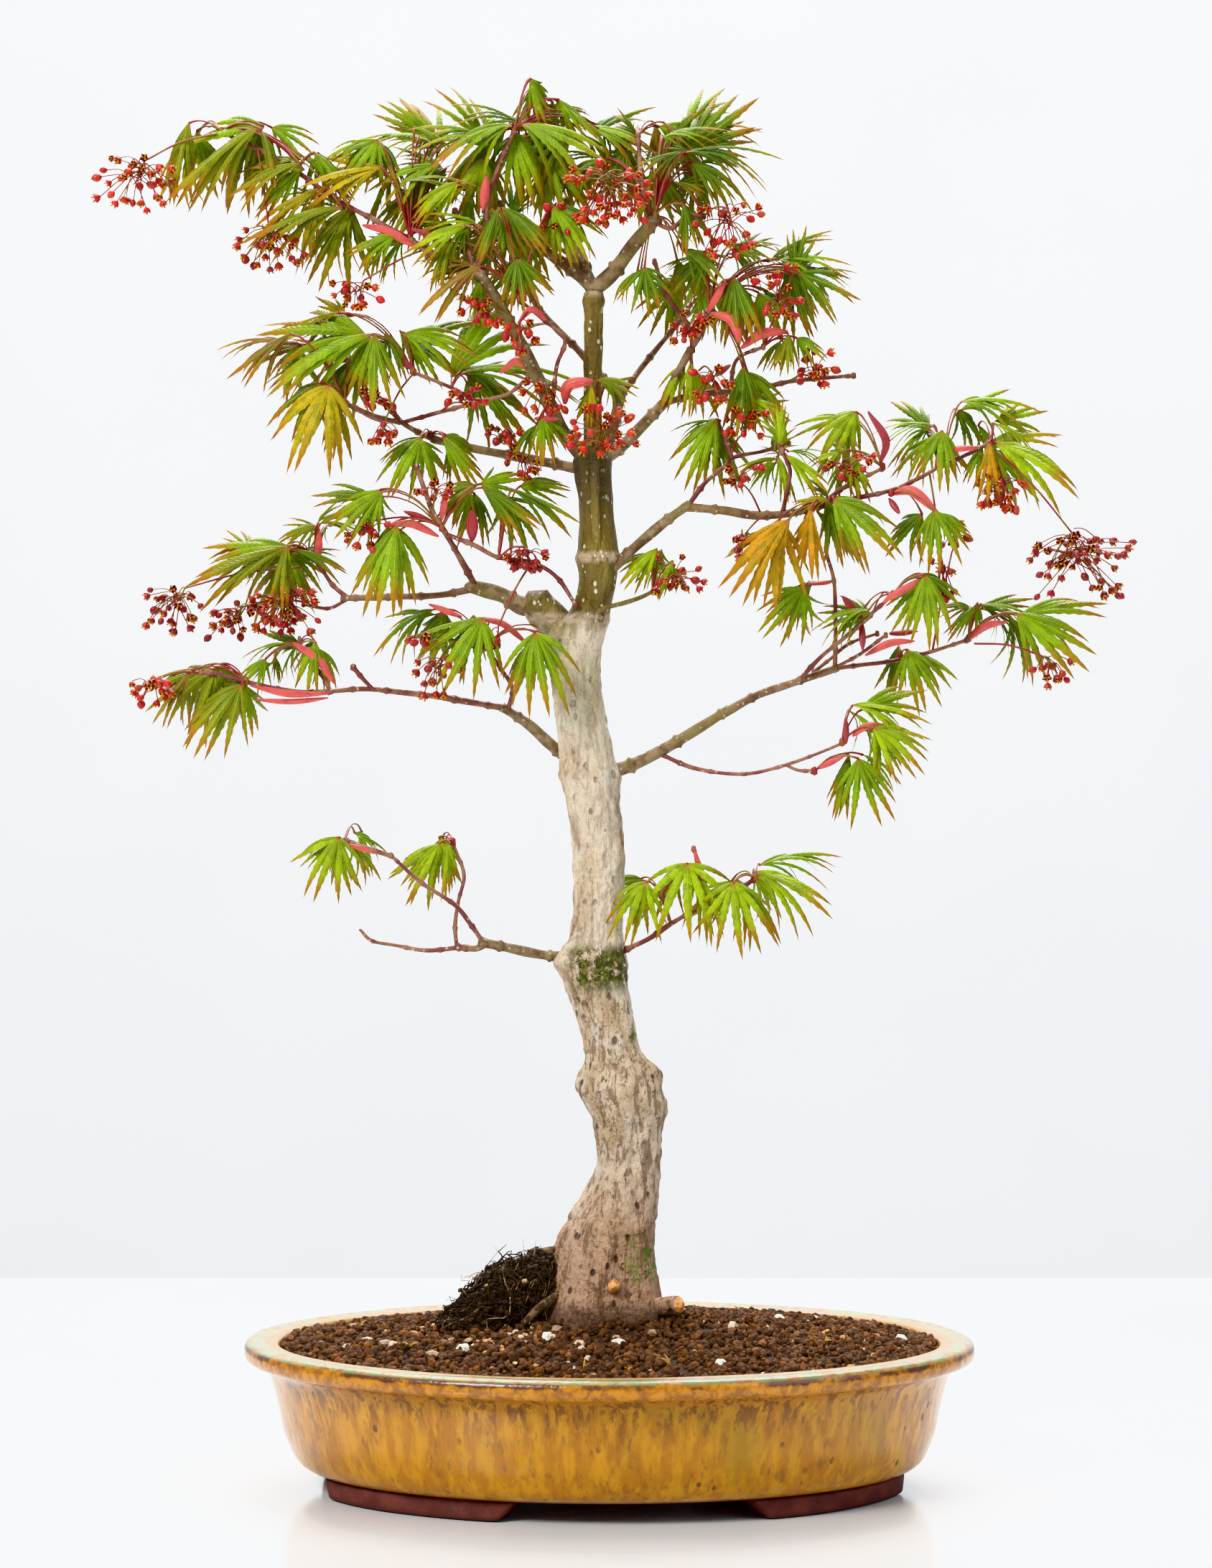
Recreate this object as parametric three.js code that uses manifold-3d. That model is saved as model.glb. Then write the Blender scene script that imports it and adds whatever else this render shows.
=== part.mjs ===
// A flowering maple bonsai in an oval glazed pot. Millimetres, +Z up.
// Origin: the middle of the pot's foot ring, on the surface that it stands on; +X is the pot's long side.
import * as THREE from "three";
import { mergeVertices } from "three/addons/utils/BufferGeometryUtils.js";
import Module from "manifold-3d";

const wasm = await Module();
wasm.setup();

// ---- Driving dimensions ----

const GAP = 0.3; // air between pieces that touch

const POT_LENGTH = 360; // over the lip
const POT_DEPTH = 274;
const RIM_HEIGHT = 72; // lip above the table
const LIP_WIDTH = 16; // flat top of the lip
const WALL_THICKNESS = 8;
const FLOOR_THICKNESS = 8;
const LIP_DROP = 10; // height of the lip's outer band
const FOOT_HEIGHT = 10;
const FOOT_WIDTH = 15;
const FOOT_INSET = 33; // from the lip's edge in to the foot's outer face
const FOOT_SPAN = 52; // degrees of the oval that one foot covers
const FOOT_ANGLE = 41.2; // degrees from the long axis to the middle of a foot
const FOOT_TURN = -4.8; // the feet stand a little round from the pot's own axes
const FOOT_TAPER = 0.12; // share by which a foot's span shrinks towards the table

const DRAIN_RADIUS = 11;
const DRAIN_OFFSET = 70; // from the middle of the floor
const SCREEN_SIZE = 36;
const SCREEN_THICKNESS = 1;
const SCREEN_BAR = 2;
const SCREEN_CELLS = 3;
const WIRE_RADIUS = 0.75;

const SOIL_EDGE = 3; // soil level at the wall, below the lip
const SOIL_RISE = 18; // mound at the trunk, above the soil's edge
const CLIP_POCKET = 2.5; // room over a screen for its wire

const TREE_SIZE = 1; // the tree grows or shrinks by this about its collar
const COLLAR = 84; // height in the lists below where the trunk meets the soil
const WOOD_GIRTH = 1; // thickness of the trunk and stems
const LEAF_THICKNESS = 0.6;
const LEAF_NOTCH = 0.3; // depth left between two lobes, as a share of the lobe
const LEAF_ARCH = 0.12; // how far a lobe bows up between its base and tip
const PETIOLE_RADIUS = 0.5;
const LEAF_JOINT = 2; // swelling where a petiole meets its blade
const STRAP_WIDTH = 3.6;
const STRAP_THICKNESS = 0.8;
const BUD_RADIUS = 2.6;
const PEDICEL_RADIUS = 0.45;
const BUDS_EACH = 6;
const KNUCKLE_RADIUS = 2.6; // swelling that a spray's petioles spring from

// ---- Small tools ----

const vec = (x, y, z) => new THREE.Vector3(x, y, z);
const radians = THREE.MathUtils.degToRad;

// Moves every vertex of a geometry to where place() puts it.
function remap(geometry, place) {
  const at = geometry.attributes.position;
  for (let i = 0; i < at.count; i += 1) {
    const moved = place(new THREE.Vector3().fromBufferAttribute(at, i));
    at.setXYZ(i, moved.x, moved.y, moved.z);
  }
  return geometry;
}

// A closed geometry as a manifold-3d solid.
function solidOf(geometry) {
  const bare = geometry.clone();
  bare.deleteAttribute("normal");
  bare.deleteAttribute("uv");
  const merged = mergeVertices(bare, 1e-3);
  const corners = merged.index.array;
  const triVerts = [];
  for (let i = 0; i < corners.length; i += 3) {
    const [a, b, c] = [corners[i], corners[i + 1], corners[i + 2]];
    if (a !== b && b !== c && a !== c) triVerts.push(a, b, c);
  }
  return new wasm.Manifold(
    new wasm.Mesh({
      numProp: 3,
      vertProperties: merged.attributes.position.array,
      triVerts: new Uint32Array(triVerts),
    }),
  );
}

// A solid's vertices and faces, three numbers to a vertex.
function facesOf(solid) {
  const mesh = solid.getMesh();
  const positions = new Float32Array(mesh.numVert * 3);
  for (let i = 0; i < mesh.numVert; i += 1) {
    positions.set(mesh.vertProperties.subarray(i * mesh.numProp, i * mesh.numProp + 3), i * 3);
  }
  return new THREE.BufferGeometry()
    .setAttribute("position", new THREE.BufferAttribute(positions, 3))
    .setIndex(new THREE.BufferAttribute(mesh.triVerts, 1));
}

const union = (solids) => solids.reduce((all, next) => all.add(next));

// The largest body of a solid that a cut may have parted.
function largest(solid) {
  const bodies = solid.decompose();
  return bodies.reduce((best, next) => (next.volume() > best.volume() ? next : best));
}

// A solid pushed outwards along its vertex normals, the room that a neighbour leaves round it.
function grown(solid, margin) {
  const geometry = facesOf(solid);
  geometry.computeVertexNormals();
  const normal = geometry.attributes.normal;
  const at = geometry.attributes.position;
  for (let i = 0; i < at.count; i += 1) {
    at.setXYZ(
      i,
      at.getX(i) + normal.getX(i) * margin,
      at.getY(i) + normal.getY(i) * margin,
      at.getZ(i) + normal.getZ(i) * margin,
    );
  }
  return solidOf(geometry);
}

function boxesMeet(a, b, margin) {
  return [0, 1, 2].every((k) => a.min[k] - margin < b.max[k] && b.min[k] - margin < a.max[k]);
}

// Cuts a solid back so that it clears every earlier piece, and keeps its main body.
function giveWay(solid, earlier) {
  let left = solid;
  for (const piece of earlier) {
    if (boxesMeet(left.boundingBox(), piece.solid.boundingBox(), GAP)) {
      left = left.subtract(piece.solid).subtract(piece.room);
    }
  }
  return largest(left);
}

const pieces = [];
const group = new THREE.Group();

function addPiece(name, solid, colour, roughness) {
  const cut = giveWay(solid, pieces);
  pieces.push({ name, solid: cut, room: grown(cut, 2 * GAP) });
  const material = new THREE.MeshStandardMaterial({ color: colour, roughness, metalness: 0 });
  const mesh = new THREE.Mesh(facesOf(cut), material);
  mesh.name = name;
  group.add(mesh);
  return mesh;
}

// ---- Pot ----

const HALF_LENGTH = POT_LENGTH / 2;
const HALF_DEPTH = POT_DEPTH / 2;
const STRAIGHT_INSET = 50; // past this inset the ovals shrink in proportion down to a point

// Turns a lathe's circles into ovals that keep the same distance in from the lip on every side.
function ovalOf(points, sides) {
  const lathe = new THREE.LatheGeometry(points, sides).rotateX(Math.PI / 2);
  return remap(lathe, (p) => {
    const radius = Math.hypot(p.x, p.y);
    if (radius < 1e-6) return vec(0, 0, p.z);
    const inset = HALF_LENGTH - radius;
    const even = HALF_LENGTH - STRAIGHT_INSET;
    const depth =
      inset < STRAIGHT_INSET ? HALF_DEPTH - inset : (radius * (HALF_DEPTH - STRAIGHT_INSET)) / even;
    return vec(p.x, (p.y * depth) / radius, p.z);
  });
}

// A profile point given by its inset from the lip's edge and its height.
const profile = (list) => list.map(([inset, z]) => new THREE.Vector2(HALF_LENGTH - inset, z));

const FLOOR_TOP = FOOT_HEIGHT + FLOOR_THICKNESS;
const UNDER_LIP = RIM_HEIGHT - LIP_DROP;
const WALL_RISE = UNDER_LIP - FOOT_HEIGHT;
const CAVITY_RISE = RIM_HEIGHT - FLOOR_TOP;

const outerWall = [
  [HALF_LENGTH, FOOT_HEIGHT],
  [FOOT_INSET + 1, FOOT_HEIGHT],
  [27, FOOT_HEIGHT + WALL_RISE * 0.06],
  [22.5, FOOT_HEIGHT + WALL_RISE * 0.2],
  [19.5, FOOT_HEIGHT + WALL_RISE * 0.35],
  [17, FOOT_HEIGHT + WALL_RISE * 0.58],
  [14.5, FOOT_HEIGHT + WALL_RISE * 0.77],
  [11.5, FOOT_HEIGHT + WALL_RISE * 0.92],
  [7, UNDER_LIP],
  [2, UNDER_LIP + 1],
  [0, UNDER_LIP + 4],
  [0, RIM_HEIGHT - 3],
  [1.5, RIM_HEIGHT - 0.6],
  [3.5, RIM_HEIGHT],
  [LIP_WIDTH, RIM_HEIGHT],
];
const innerWall = [
  [LIP_WIDTH + 1.5, RIM_HEIGHT - 2],
  [14.5 + WALL_THICKNESS, FLOOR_TOP + CAVITY_RISE * 0.5],
  [19 + WALL_THICKNESS, FLOOR_TOP + CAVITY_RISE * 0.16],
  [26 + WALL_THICKNESS, FLOOR_TOP],
  [HALF_LENGTH, FLOOR_TOP],
];
const drains = [-DRAIN_OFFSET, DRAIN_OFFSET];

function potSolid() {
  const body = solidOf(ovalOf(profile([...outerWall, ...innerWall]), 36));
  const holes = drains.map((x) => {
    const hole = new THREE.CylinderGeometry(DRAIN_RADIUS, DRAIN_RADIUS, FLOOR_THICKNESS * 3, 16);
    return solidOf(hole.rotateX(Math.PI / 2).translate(x, 0, FOOT_HEIGHT + FLOOR_THICKNESS / 2));
  });
  return holes.reduce((all, hole) => all.subtract(hole), body);
}

// A foot is a box bent along the oval, its ends leaning in towards the table.
function footSolid(middle) {
  const height = FOOT_HEIGHT - GAP;
  const box = new THREE.BoxGeometry(1, 1, 1, 6, 1, 1);
  return solidOf(
    remap(box, (p) => {
      const lift = p.z + 0.5;
      const span = FOOT_SPAN * (1 - FOOT_TAPER * (1 - lift));
      const angle = radians(middle + p.x * span);
      const inset = FOOT_INSET + FOOT_WIDTH * (0.5 - p.y);
      return vec(
        (HALF_LENGTH - inset) * Math.cos(angle),
        -(HALF_DEPTH - inset) * Math.sin(angle),
        lift * height,
      );
    }),
  );
}

function screenSolid(x) {
  const plate = new THREE.BoxGeometry(SCREEN_SIZE, SCREEN_SIZE, SCREEN_THICKNESS);
  const pitch = (SCREEN_SIZE - SCREEN_BAR) / SCREEN_CELLS;
  let screen = solidOf(plate);
  for (let i = 0; i < SCREEN_CELLS; i += 1) {
    for (let j = 0; j < SCREEN_CELLS; j += 1) {
      const cell = new THREE.BoxGeometry(pitch - SCREEN_BAR, pitch - SCREEN_BAR, 3 * SCREEN_THICKNESS);
      const middle = (SCREEN_CELLS - 1) / 2;
      cell.translate((i - middle) * pitch, (j - middle) * pitch, 0);
      screen = screen.subtract(solidOf(cell));
    }
  }
  return screen.translate(x, 0, FLOOR_TOP + GAP + SCREEN_THICKNESS / 2);
}

// A wire staple: over the screen, down through the drain hole and out under the floor.
function clipSolid(x) {
  const leg = DRAIN_RADIUS - 2.6;
  const foot = DRAIN_RADIUS + 6;
  const top = FLOOR_TOP + SCREEN_THICKNESS + 2 * GAP + WIRE_RADIUS;
  const low = FOOT_HEIGHT - GAP - 2 * WIRE_RADIUS;
  const route = new THREE.CatmullRomCurve3(
    [
      vec(-foot, 0, low),
      vec(-leg - 2, 0, low),
      vec(-leg, 0, low + 2),
      vec(-leg, 0, top - 2),
      vec(-leg + 1.5, 0, top),
      vec(leg - 1.5, 0, top),
      vec(leg, 0, top - 2),
      vec(leg, 0, low + 2),
      vec(leg + 2, 0, low),
      vec(foot, 0, low),
    ],
    false,
    "centripetal",
  );
  const section = new THREE.Shape().absellipse(0, 0, WIRE_RADIUS, WIRE_RADIUS, 0, 2 * Math.PI);
  const wire = new THREE.ExtrudeGeometry(section, {
    steps: 20,
    curveSegments: 3,
    bevelEnabled: false,
    extrudePath: route,
  });
  return solidOf(wire).translate(x, 0, 0);
}

// ---- Soil ----

const SOIL_LEVEL = RIM_HEIGHT - SOIL_EDGE;
const soilProfile = [
  [HALF_LENGTH, FLOOR_TOP + GAP],
  [26 + WALL_THICKNESS + 1, FLOOR_TOP + GAP],
  [19 + WALL_THICKNESS + 1, FLOOR_TOP + CAVITY_RISE * 0.16 + 1],
  [14.5 + WALL_THICKNESS + 1, FLOOR_TOP + CAVITY_RISE * 0.5],
  [LIP_WIDTH + 3, SOIL_LEVEL],
  [50, SOIL_LEVEL + SOIL_RISE * 0.25],
  [90, SOIL_LEVEL + SOIL_RISE * 0.42],
  [130, SOIL_LEVEL + SOIL_RISE * 0.72],
  [158, SOIL_LEVEL + SOIL_RISE],
  [HALF_LENGTH, SOIL_LEVEL + SOIL_RISE],
];

function soilSolid() {
  const mound = solidOf(ovalOf(profile(soilProfile), 24));
  const pocketHeight = SCREEN_THICKNESS + CLIP_POCKET + 2 * GAP;
  const pockets = drains.map((x) => {
    const pocket = new THREE.BoxGeometry(SCREEN_SIZE + 2, SCREEN_SIZE + 2, 2 * pocketHeight);
    return solidOf(pocket.translate(x, 0, FLOOR_TOP));
  });
  return pockets.reduce((all, pocket) => all.subtract(pocket), mound);
}

// ---- The tree ----

// A point of the lists, moved to where the tree stands on its soil.
const SOIL_TOP = SOIL_LEVEL + SOIL_RISE - 3;
const spot = ([x, y, z]) => vec(x, y, z - COLLAR).multiplyScalar(TREE_SIZE).add(vec(0, 0, SOIL_TOP));

// A closed tube through points whose radii are given: a cylinder's rows set along the curve.
function taperedTube(points, radii, sides, steps) {
  const curve = new THREE.CatmullRomCurve3(points.map(spot), false, "centripetal");
  const frames = curve.computeFrenetFrames(steps);
  const rows = Array.from({ length: steps + 1 }, (_, i) => curve.getPointAt(i / steps));
  const radiusAt = (row) => {
    const along = (row / steps) * (radii.length - 1);
    const low = Math.min(Math.floor(along), radii.length - 2);
    return THREE.MathUtils.lerp(radii[low], radii[low + 1], along - low) * TREE_SIZE;
  };
  return solidOf(
    remap(new THREE.CylinderGeometry(1, 1, 1, sides, steps), (p) => {
      const row = Math.round((0.5 - p.y) * steps);
      return rows[row]
        .clone()
        .addScaledVector(frames.normals[row], p.x * radiusAt(row))
        .addScaledVector(frames.binormals[row], p.z * radiusAt(row));
    }),
  );
}

// A woody stem from its first radius to its last through [x, y, z] points.
function stem([first, last, points], sides = 5) {
  const steps = Math.max(2, points.length - 1);
  return taperedTube(points, [first * WOOD_GIRTH, last * WOOD_GIRTH], sides, steps);
}

// The trunk's rings: height, middle in x, radius.
const trunkRings = [
  [58, -4, 34],
  [80, -4, 31],
  [95, -4, 27.5],
  [112, -3, 24.5],
  [125, -1, 22.5],
  [135, 2.5, 20],
  [148, 6.5, 17],
  [160, 9, 15],
  [175, 9, 16],
  [186, 8.5, 18.7],
  [197, 5, 20],
  [206, 5, 17.5],
  [214, 1.5, 14],
  [228, -1.5, 13.8],
  [245, -6, 15],
  [258, -9, 16.5],
  [270, -6.2, 13.2],
  [290, -5, 12.5],
  [312, -5.5, 12.5],
  [332, -7.5, 13],
  [350, -10, 14],
  [370, -13, 12.5],
  [392, -16, 12.2],
  [410, -17.5, 13.2],
  [421, -16, 14.5],
  [432, -9.5, 10],
  [445, -6, 9.3],
  [458, -5.8, 10.2],
  [480, -6.5, 8.5],
  [504, -8.5, 9],
  [514, -8.2, 5],
  [550, -8.2, 4.6],
  [588, -7.8, 4.8],
];
const trunkStems = [
  [5, 4, [[14, -6, 88], [24, -9, 91], [35, -11, 91]]],
  [7, 4, [[-2, -18, 84], [-3, -30, 80], [-4, -40, 74]]],
  [7, 4, [[12, 14, 84], [24, 28, 80], [34, 36, 74]]],
  [7, 4, [[-14, 16, 84], [-26, 30, 80], [-32, 40, 74]]],
  [9, 7.5, [[-20, 0, 418], [-30, -2, 428], [-37, -3, 436]]],
  [2.2, 2.2, [[-6, -8, 457], [-7, -11, 480], [-7.5, -13, 512]]],
  [1.4, 1, [[-11, -6, 428], [-2, -12, 432], [6, -14, 434], [15, -13, 437], [21, -12, 440]]],
];

function trunkSolid() {
  const points = trunkRings.map(([z, x]) => [x, 0, z]);
  const sides = 12;
  const steps = trunkRings.length - 1;
  const rings = points.map(spot);
  const shaft = remap(new THREE.CylinderGeometry(1, 1, 1, sides, steps), (p) => {
    const row = Math.round((0.5 - p.y) * steps);
    const radius = trunkRings[row][2] * WOOD_GIRTH * TREE_SIZE;
    return vec(rings[row].x + p.x * radius, rings[row].y + p.z * radius, rings[row].z);
  });
  return union([solidOf(shaft), ...trunkStems.map((row) => stem(row))]);
}

const rootMound = { middle: [-52, -6, 84], reach: [27, 24, 31] };

// The mat of fine roots is a lump that leans on the trunk's left side.
function rootSolid() {
  const ball = new THREE.SphereGeometry(1, 12, 8).rotateX(Math.PI / 2);
  const [rx, ry, rz] = rootMound.reach;
  return solidOf(
    remap(ball, (p) => {
      const lean = 1 + 0.35 * p.x * Math.max(p.z, 0);
      const [x, y, z] = rootMound.middle;
      return spot([x + rx * p.x, y + ry * p.y, z + rz * p.z * lean]);
    }),
  );
}

// Each limb is its stems: first radius, last radius, points.
const limbs = {
  limb_low_left: [
    [2.7, 2.4, [[-14, 0, 261], [-30, -1, 261], [-47, -6, 264.5], [-62, -12, 268]]],
    [1.9, 1.7, [[-61, -12, 267], [-66, -11, 265], [-74, -10, 265.5]]],
    [1.4, 0.9, [[-73, -10, 265.5], [-90, -8, 264], [-106, -6, 266.5], [-117, -4, 268.5], [-123, -3, 274]]],
    [1.5, 1, [[-62, -12, 268], [-68, -15, 277], [-76, -19, 287], [-92, -26, 298], [-106, -32, 311]]],
    [1.5, 1.5, [[-105, -31, 310.5], [-116, -34, 314], [-127, -35, 317]]],
    [1.2, 1, [[-75, -10, 265.5], [-76, -6, 276], [-74.5, -2, 288], [-72, 2, 301], [-77, 5, 315]]],
  ],
  limb_low_right: [
    [1.6, 1.2, [[0, 0, 260], [10, -3, 265], [20, -6, 270], [30, -9, 277], [42, -14, 284], [58, -19, 291], [70, -22, 299]]],
    [1, 0.9, [[30, -9, 277], [28, -10, 284], [26, -12, 290]]],
    [1.3, 1.1, [[47, -15, 287], [46, -17, 300], [41, -18, 314]]],
  ],
  limb_mid_left: [
    [3.2, 2.3, [[-14, 0, 352], [-30, 2, 366], [-40, 4, 375], [-52, 6, 383]]],
    [1.9, 1.4, [[-50, 6, 383], [-68, 6, 386], [-86, 4, 389], [-104, 1, 391], [-120, -3, 392.5], [-138, -8, 391]]],
    [1.6, 1.2, [[-136, -8, 391], [-155, -10, 391], [-175, -12, 395], [-190, -12, 399], [-200, -12, 400.5]]],
    [1.4, 1.2, [[-137, -8, 391], [-142, -8, 400], [-152, -8, 412]]],
    [1.1, 1.4, [[-116, -3, 392], [-121, -5, 397], [-126, -6, 403]]],
    [1.4, 1.2, [[-50, 5, 383], [-48, -4, 393], [-54, -14, 403], [-60, -22, 412]]],
  ],
  limb_mid_right: [
    [3.6, 2.3, [[-4, 0, 350], [12, 2, 355.5], [25, 4, 362], [42, 7, 372], [58, 10, 382]]],
    [2.3, 1.9, [[57, 10, 381], [74, 13, 390], [93, 15, 396.5], [112, 15, 403]]],
    [1.4, 1.2, [[111, 15, 403], [126, 13, 405], [142, 11, 407], [160, 10, 411.5], [177, 10, 417]]],
    [1.4, 0.9, [[26, 4, 360], [40, -2, 354], [56, -8, 351], [70, -12, 351], [86, -16, 355], [100, -21, 360], [112, -24, 365]]],
    [1, 1, [[86, -16, 355], [92, -17, 352.5], [99, -18, 352]]],
    [1.4, 1.1, [[94, 15, 397], [104, 6, 408], [116, -4, 418], [127, -12, 428], [137, -22, 437]]],
    [1.3, 1.1, [[112, 15, 403], [112, 10, 424], [111, 6, 446], [107, 2, 461], [108, -4, 477]]],
    [1, 0.9, [[111, 6, 446], [104, 8, 445.5], [98, 10, 445]]],
    [1.2, 1, [[101, 17, 401], [110, 22, 408], [120, 26, 416], [134, 28, 421]]],
    [1.2, 1, [[113, 14, 404], [124, 4, 410], [136, -2, 419]]],
  ],
  limb_long_right: [
    [2.6, 2.4, [[-2, -2, 449], [10, -5, 460], [24, -8, 472], [38, -10, 482]]],
    [2.3, 2, [[36, -10, 481.5], [55, -9, 480], [75, -7, 477.5], [95, -6, 480], [106, -6, 484]]],
    [1.5, 1.1, [[105, -6, 483.5], [120, -7, 486], [137, -9, 489.5], [150, -8, 495], [163, -6, 502]]],
    [1.4, 1.2, [[162, -6, 501.5], [174, -5, 507], [186, -4, 513]]],
    [1.4, 1.1, [[105, -6, 484], [113, -5, 490], [124, -4, 496], [134, -2, 501]]],
    [1.5, 1.1, [[39, -10, 483], [47, -4, 494], [56, 6, 502], [62, 12, 508], [76, 14, 511], [89, 15, 515]]],
    [1.3, 1.2, [[61, 11, 507], [58, 15, 516], [54, 18, 526]]],
    [1.3, 1.1, [[85, -6, 479], [87, -13, 490], [88, -18, 499], [84, -21, 508]]],
  ],
  limb_upper_right: [
    [3.2, 2.6, [[-8, 2, 503], [4, 6, 511], [15, 11, 522], [27, 15, 535]]],
    [2, 1.2, [[26, 15, 535], [46, 17, 540], [70, 20, 542], [92, 23, 547], [122, 26, 550]]],
    [2.2, 2, [[27, 14, 535], [32, 8, 546], [40, 2, 560]]],
    [1.9, 1.3, [[39, 2, 559], [45, 1, 568], [48, 0, 579]]],
    [1.5, 1.1, [[41, 2, 563], [38, -1, 573], [28, -5, 586], [22, -9, 602]]],
    [1.3, 1.1, [[60, 18, 541], [63, 10, 556], [76, 6, 562]]],
  ],
  limb_crown: [
    [3.9, 3.3, [[-8, 0, 589.5], [2, -3, 598], [12, -8, 611], [22, -12, 622]]],
    [1.8, 1.3, [[21, -12, 621], [16, -10, 640], [14, 2, 666]]],
    [1.5, 1.2, [[22, -12, 621], [30, -12, 618], [38, -12, 624], [46, -12, 624]]],
    [3.2, 2.2, [[-8, 0, 589.5], [-20, 4, 601], [-31, 8, 609], [-44, 12, 620], [-56, 16, 634]]],
    [4, 2.6, [[-8, 1, 589.5], [-16, 16, 608], [-18, 32, 622], [-22, 44, 640]]],
  ],
  limb_left_leader: [
    [3.6, 3.4, [[-12, -2, 505], [-24, -6, 521], [-34, -9, 542], [-43, -11, 560]]],
    [3.2, 2.8, [[-42, -11, 559], [-50, -14, 573], [-60, -17, 590], [-66, -18, 597]]],
    [2.1, 1.8, [[-65, -18, 595], [-77, -16, 599], [-88, -13, 606], [-97, -10, 612]]],
    [1.6, 1.3, [[-96, -10, 611], [-114, -7, 622], [-134, -5, 633], [-154, -4, 647], [-175, -4, 659], [-190, -4, 666]]],
    [1.6, 1.3, [[-65, -18, 596], [-60, -16, 612], [-60, -14, 630], [-56, -12, 644], [-47, -10, 666]]],
    [1.7, 1.4, [[-66, -18, 596], [-70, -13, 610], [-76, -8, 627]]],
    [1.3, 1, [[-68, -14, 603], [-78, -4, 612], [-90, 4, 622], [-103, 10, 633]]],
    [1.3, 1, [[-28, -8, 533], [-26, -14, 550], [-22, -16, 563], [-32, -18, 572], [-43, -20, 581]]],
  ],
  limb_upper_left: [
    [2.8, 2, [[-13, 2, 501], [-30, 10, 505], [-48, 17, 509], [-68, 20, 513], [-87, 16, 517]]],
    [1.9, 1.4, [[-86, 16, 517], [-96, 14, 521], [-104, 10, 526], [-110, 8, 534]]],
    [1.3, 1.2, [[-103, 11, 525], [-84, 8, 530], [-66, 2, 534], [-50, -2, 538], [-40, -5, 546]]],
    [1.2, 1.1, [[-66, 2, 534], [-78, -1, 541], [-96, -4, 548]]],
    [1.6, 1.5, [[-104, 10, 525], [-116, 0, 527], [-129, -10, 532]]],
  ],
  limb_stub_left: [
    [5, 3.4, [[-34, -3, 433], [-44, -3, 434], [-54, -2, 439], [-68, -1, 443]]],
    [2, 1.7, [[-67, -1, 442], [-84, 2, 439], [-104, 8, 438.5], [-132, 14, 438]]],
    [1.6, 1.2, [[-130, 14, 438], [-138, 15, 445], [-146, 15, 457]]],
    [1.2, 1, [[-131, 14, 437], [-140, 14, 433], [-152, 12, 435]]],
    [1.9, 1.3, [[-66, -1, 443], [-72, -12, 454], [-80, -26, 468], [-86, -28, 478], [-94, -22, 500]]],
    [1.4, 1.2, [[-79, -26, 467], [-66, -24, 462], [-54, -22, 456], [-38, -18, 454], [-26, -14, 447], [-17, -11, 434]]],
  ],
  limb_back: [
    [3.6, 2.8, [[-8, 4, 486], [-6, 24, 500], [0, 46, 520], [6, 60, 545]]],
    [2.4, 1.6, [[5, 58, 542], [-14, 72, 566], [-36, 80, 590], [-50, 82, 616]]],
    [2, 1.4, [[6, 59, 544], [22, 70, 566], [40, 76, 588]]],
  ],
};

// ---- Leaves ----

// Lobes on each side of the middle one: a leaf folded narrow shows fewer.
const lobesOf = (fan) => THREE.MathUtils.clamp(Math.round(fan / 12), 1, 3);
const lobeLength = (k) => 1 - 0.13 * Math.abs(k) - 0.03 * k * k;

// The outline of a palmate leaf: lobe tips with a notch between each pair, middle lobe along +Y.
function leafOutline(fan) {
  const ray = (angle, length) => new THREE.Vector2(Math.sin(angle) * length, Math.cos(angle) * length);
  const lobes = lobesOf(fan);
  const step = radians(fan) / lobes;
  const outline = [new THREE.Vector2(0, -0.04)];
  for (let k = -lobes; k <= lobes; k += 1) {
    outline.push(ray(k * step, lobeLength(k)));
    if (k < lobes) outline.push(ray((k + 0.5) * step, LEAF_NOTCH));
  }
  return new THREE.Shape(outline);
}

// One leaf: its base, the tip of its middle lobe, half the angle its lobes fan over, and how far the
// blade's face turns from the front (0) to the sky (90).
function leafSolid([bx, by, bz, tx, ty, tz, fan, face]) {
  const base = spot([bx, by, bz]);
  const chord = spot([tx, ty, tz]).sub(base);
  const length = chord.length();
  const aim = chord.clone().normalize();
  const outward = vec(0, -Math.cos(radians(face)), Math.sin(radians(face)));
  const normal = outward.addScaledVector(aim, -outward.dot(aim)).normalize();
  const side = aim.clone().cross(normal);
  const plate = new THREE.ExtrudeGeometry(leafOutline(fan), { depth: 1, bevelEnabled: false });
  return solidOf(
    remap(plate, (p) => {
      const reach = Math.hypot(p.x, p.y);
      const arch = 4 * LEAF_ARCH * reach * (1 - reach) * length;
      return base
        .clone()
        .addScaledVector(aim, p.y * length)
        .addScaledVector(side, p.x * length)
        .addScaledVector(normal, arch + (p.z - 0.5) * LEAF_THICKNESS);
    }),
  );
}

// A petiole runs straight from its shoot to the leaf's base.
function petioleSolid(from, base) {
  return taperedTube([from, base], [PETIOLE_RADIUS, PETIOLE_RADIUS * 1.3], 3, 1);
}

// A bud scale: a flat strap from the shoot to its tip.
function strapSolid(from, tip) {
  const start = spot(from);
  const chord = spot(tip).sub(start);
  const aim = chord.clone().normalize();
  const normal = vec(0, -1, 0).addScaledVector(aim, aim.y).normalize();
  const side = aim.clone().cross(normal);
  const strap = new THREE.BoxGeometry(1, 1, 1, 1, 2, 1);
  return solidOf(
    remap(strap, (p) => {
      const width = STRAP_WIDTH * (1.2 - 1.6 * Math.abs(p.y));
      return start
        .clone()
        .addScaledVector(chord, p.y + 0.5)
        .addScaledVector(side, p.x * width)
        .addScaledVector(normal, p.z * STRAP_THICKNESS);
    }),
  );
}

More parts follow.
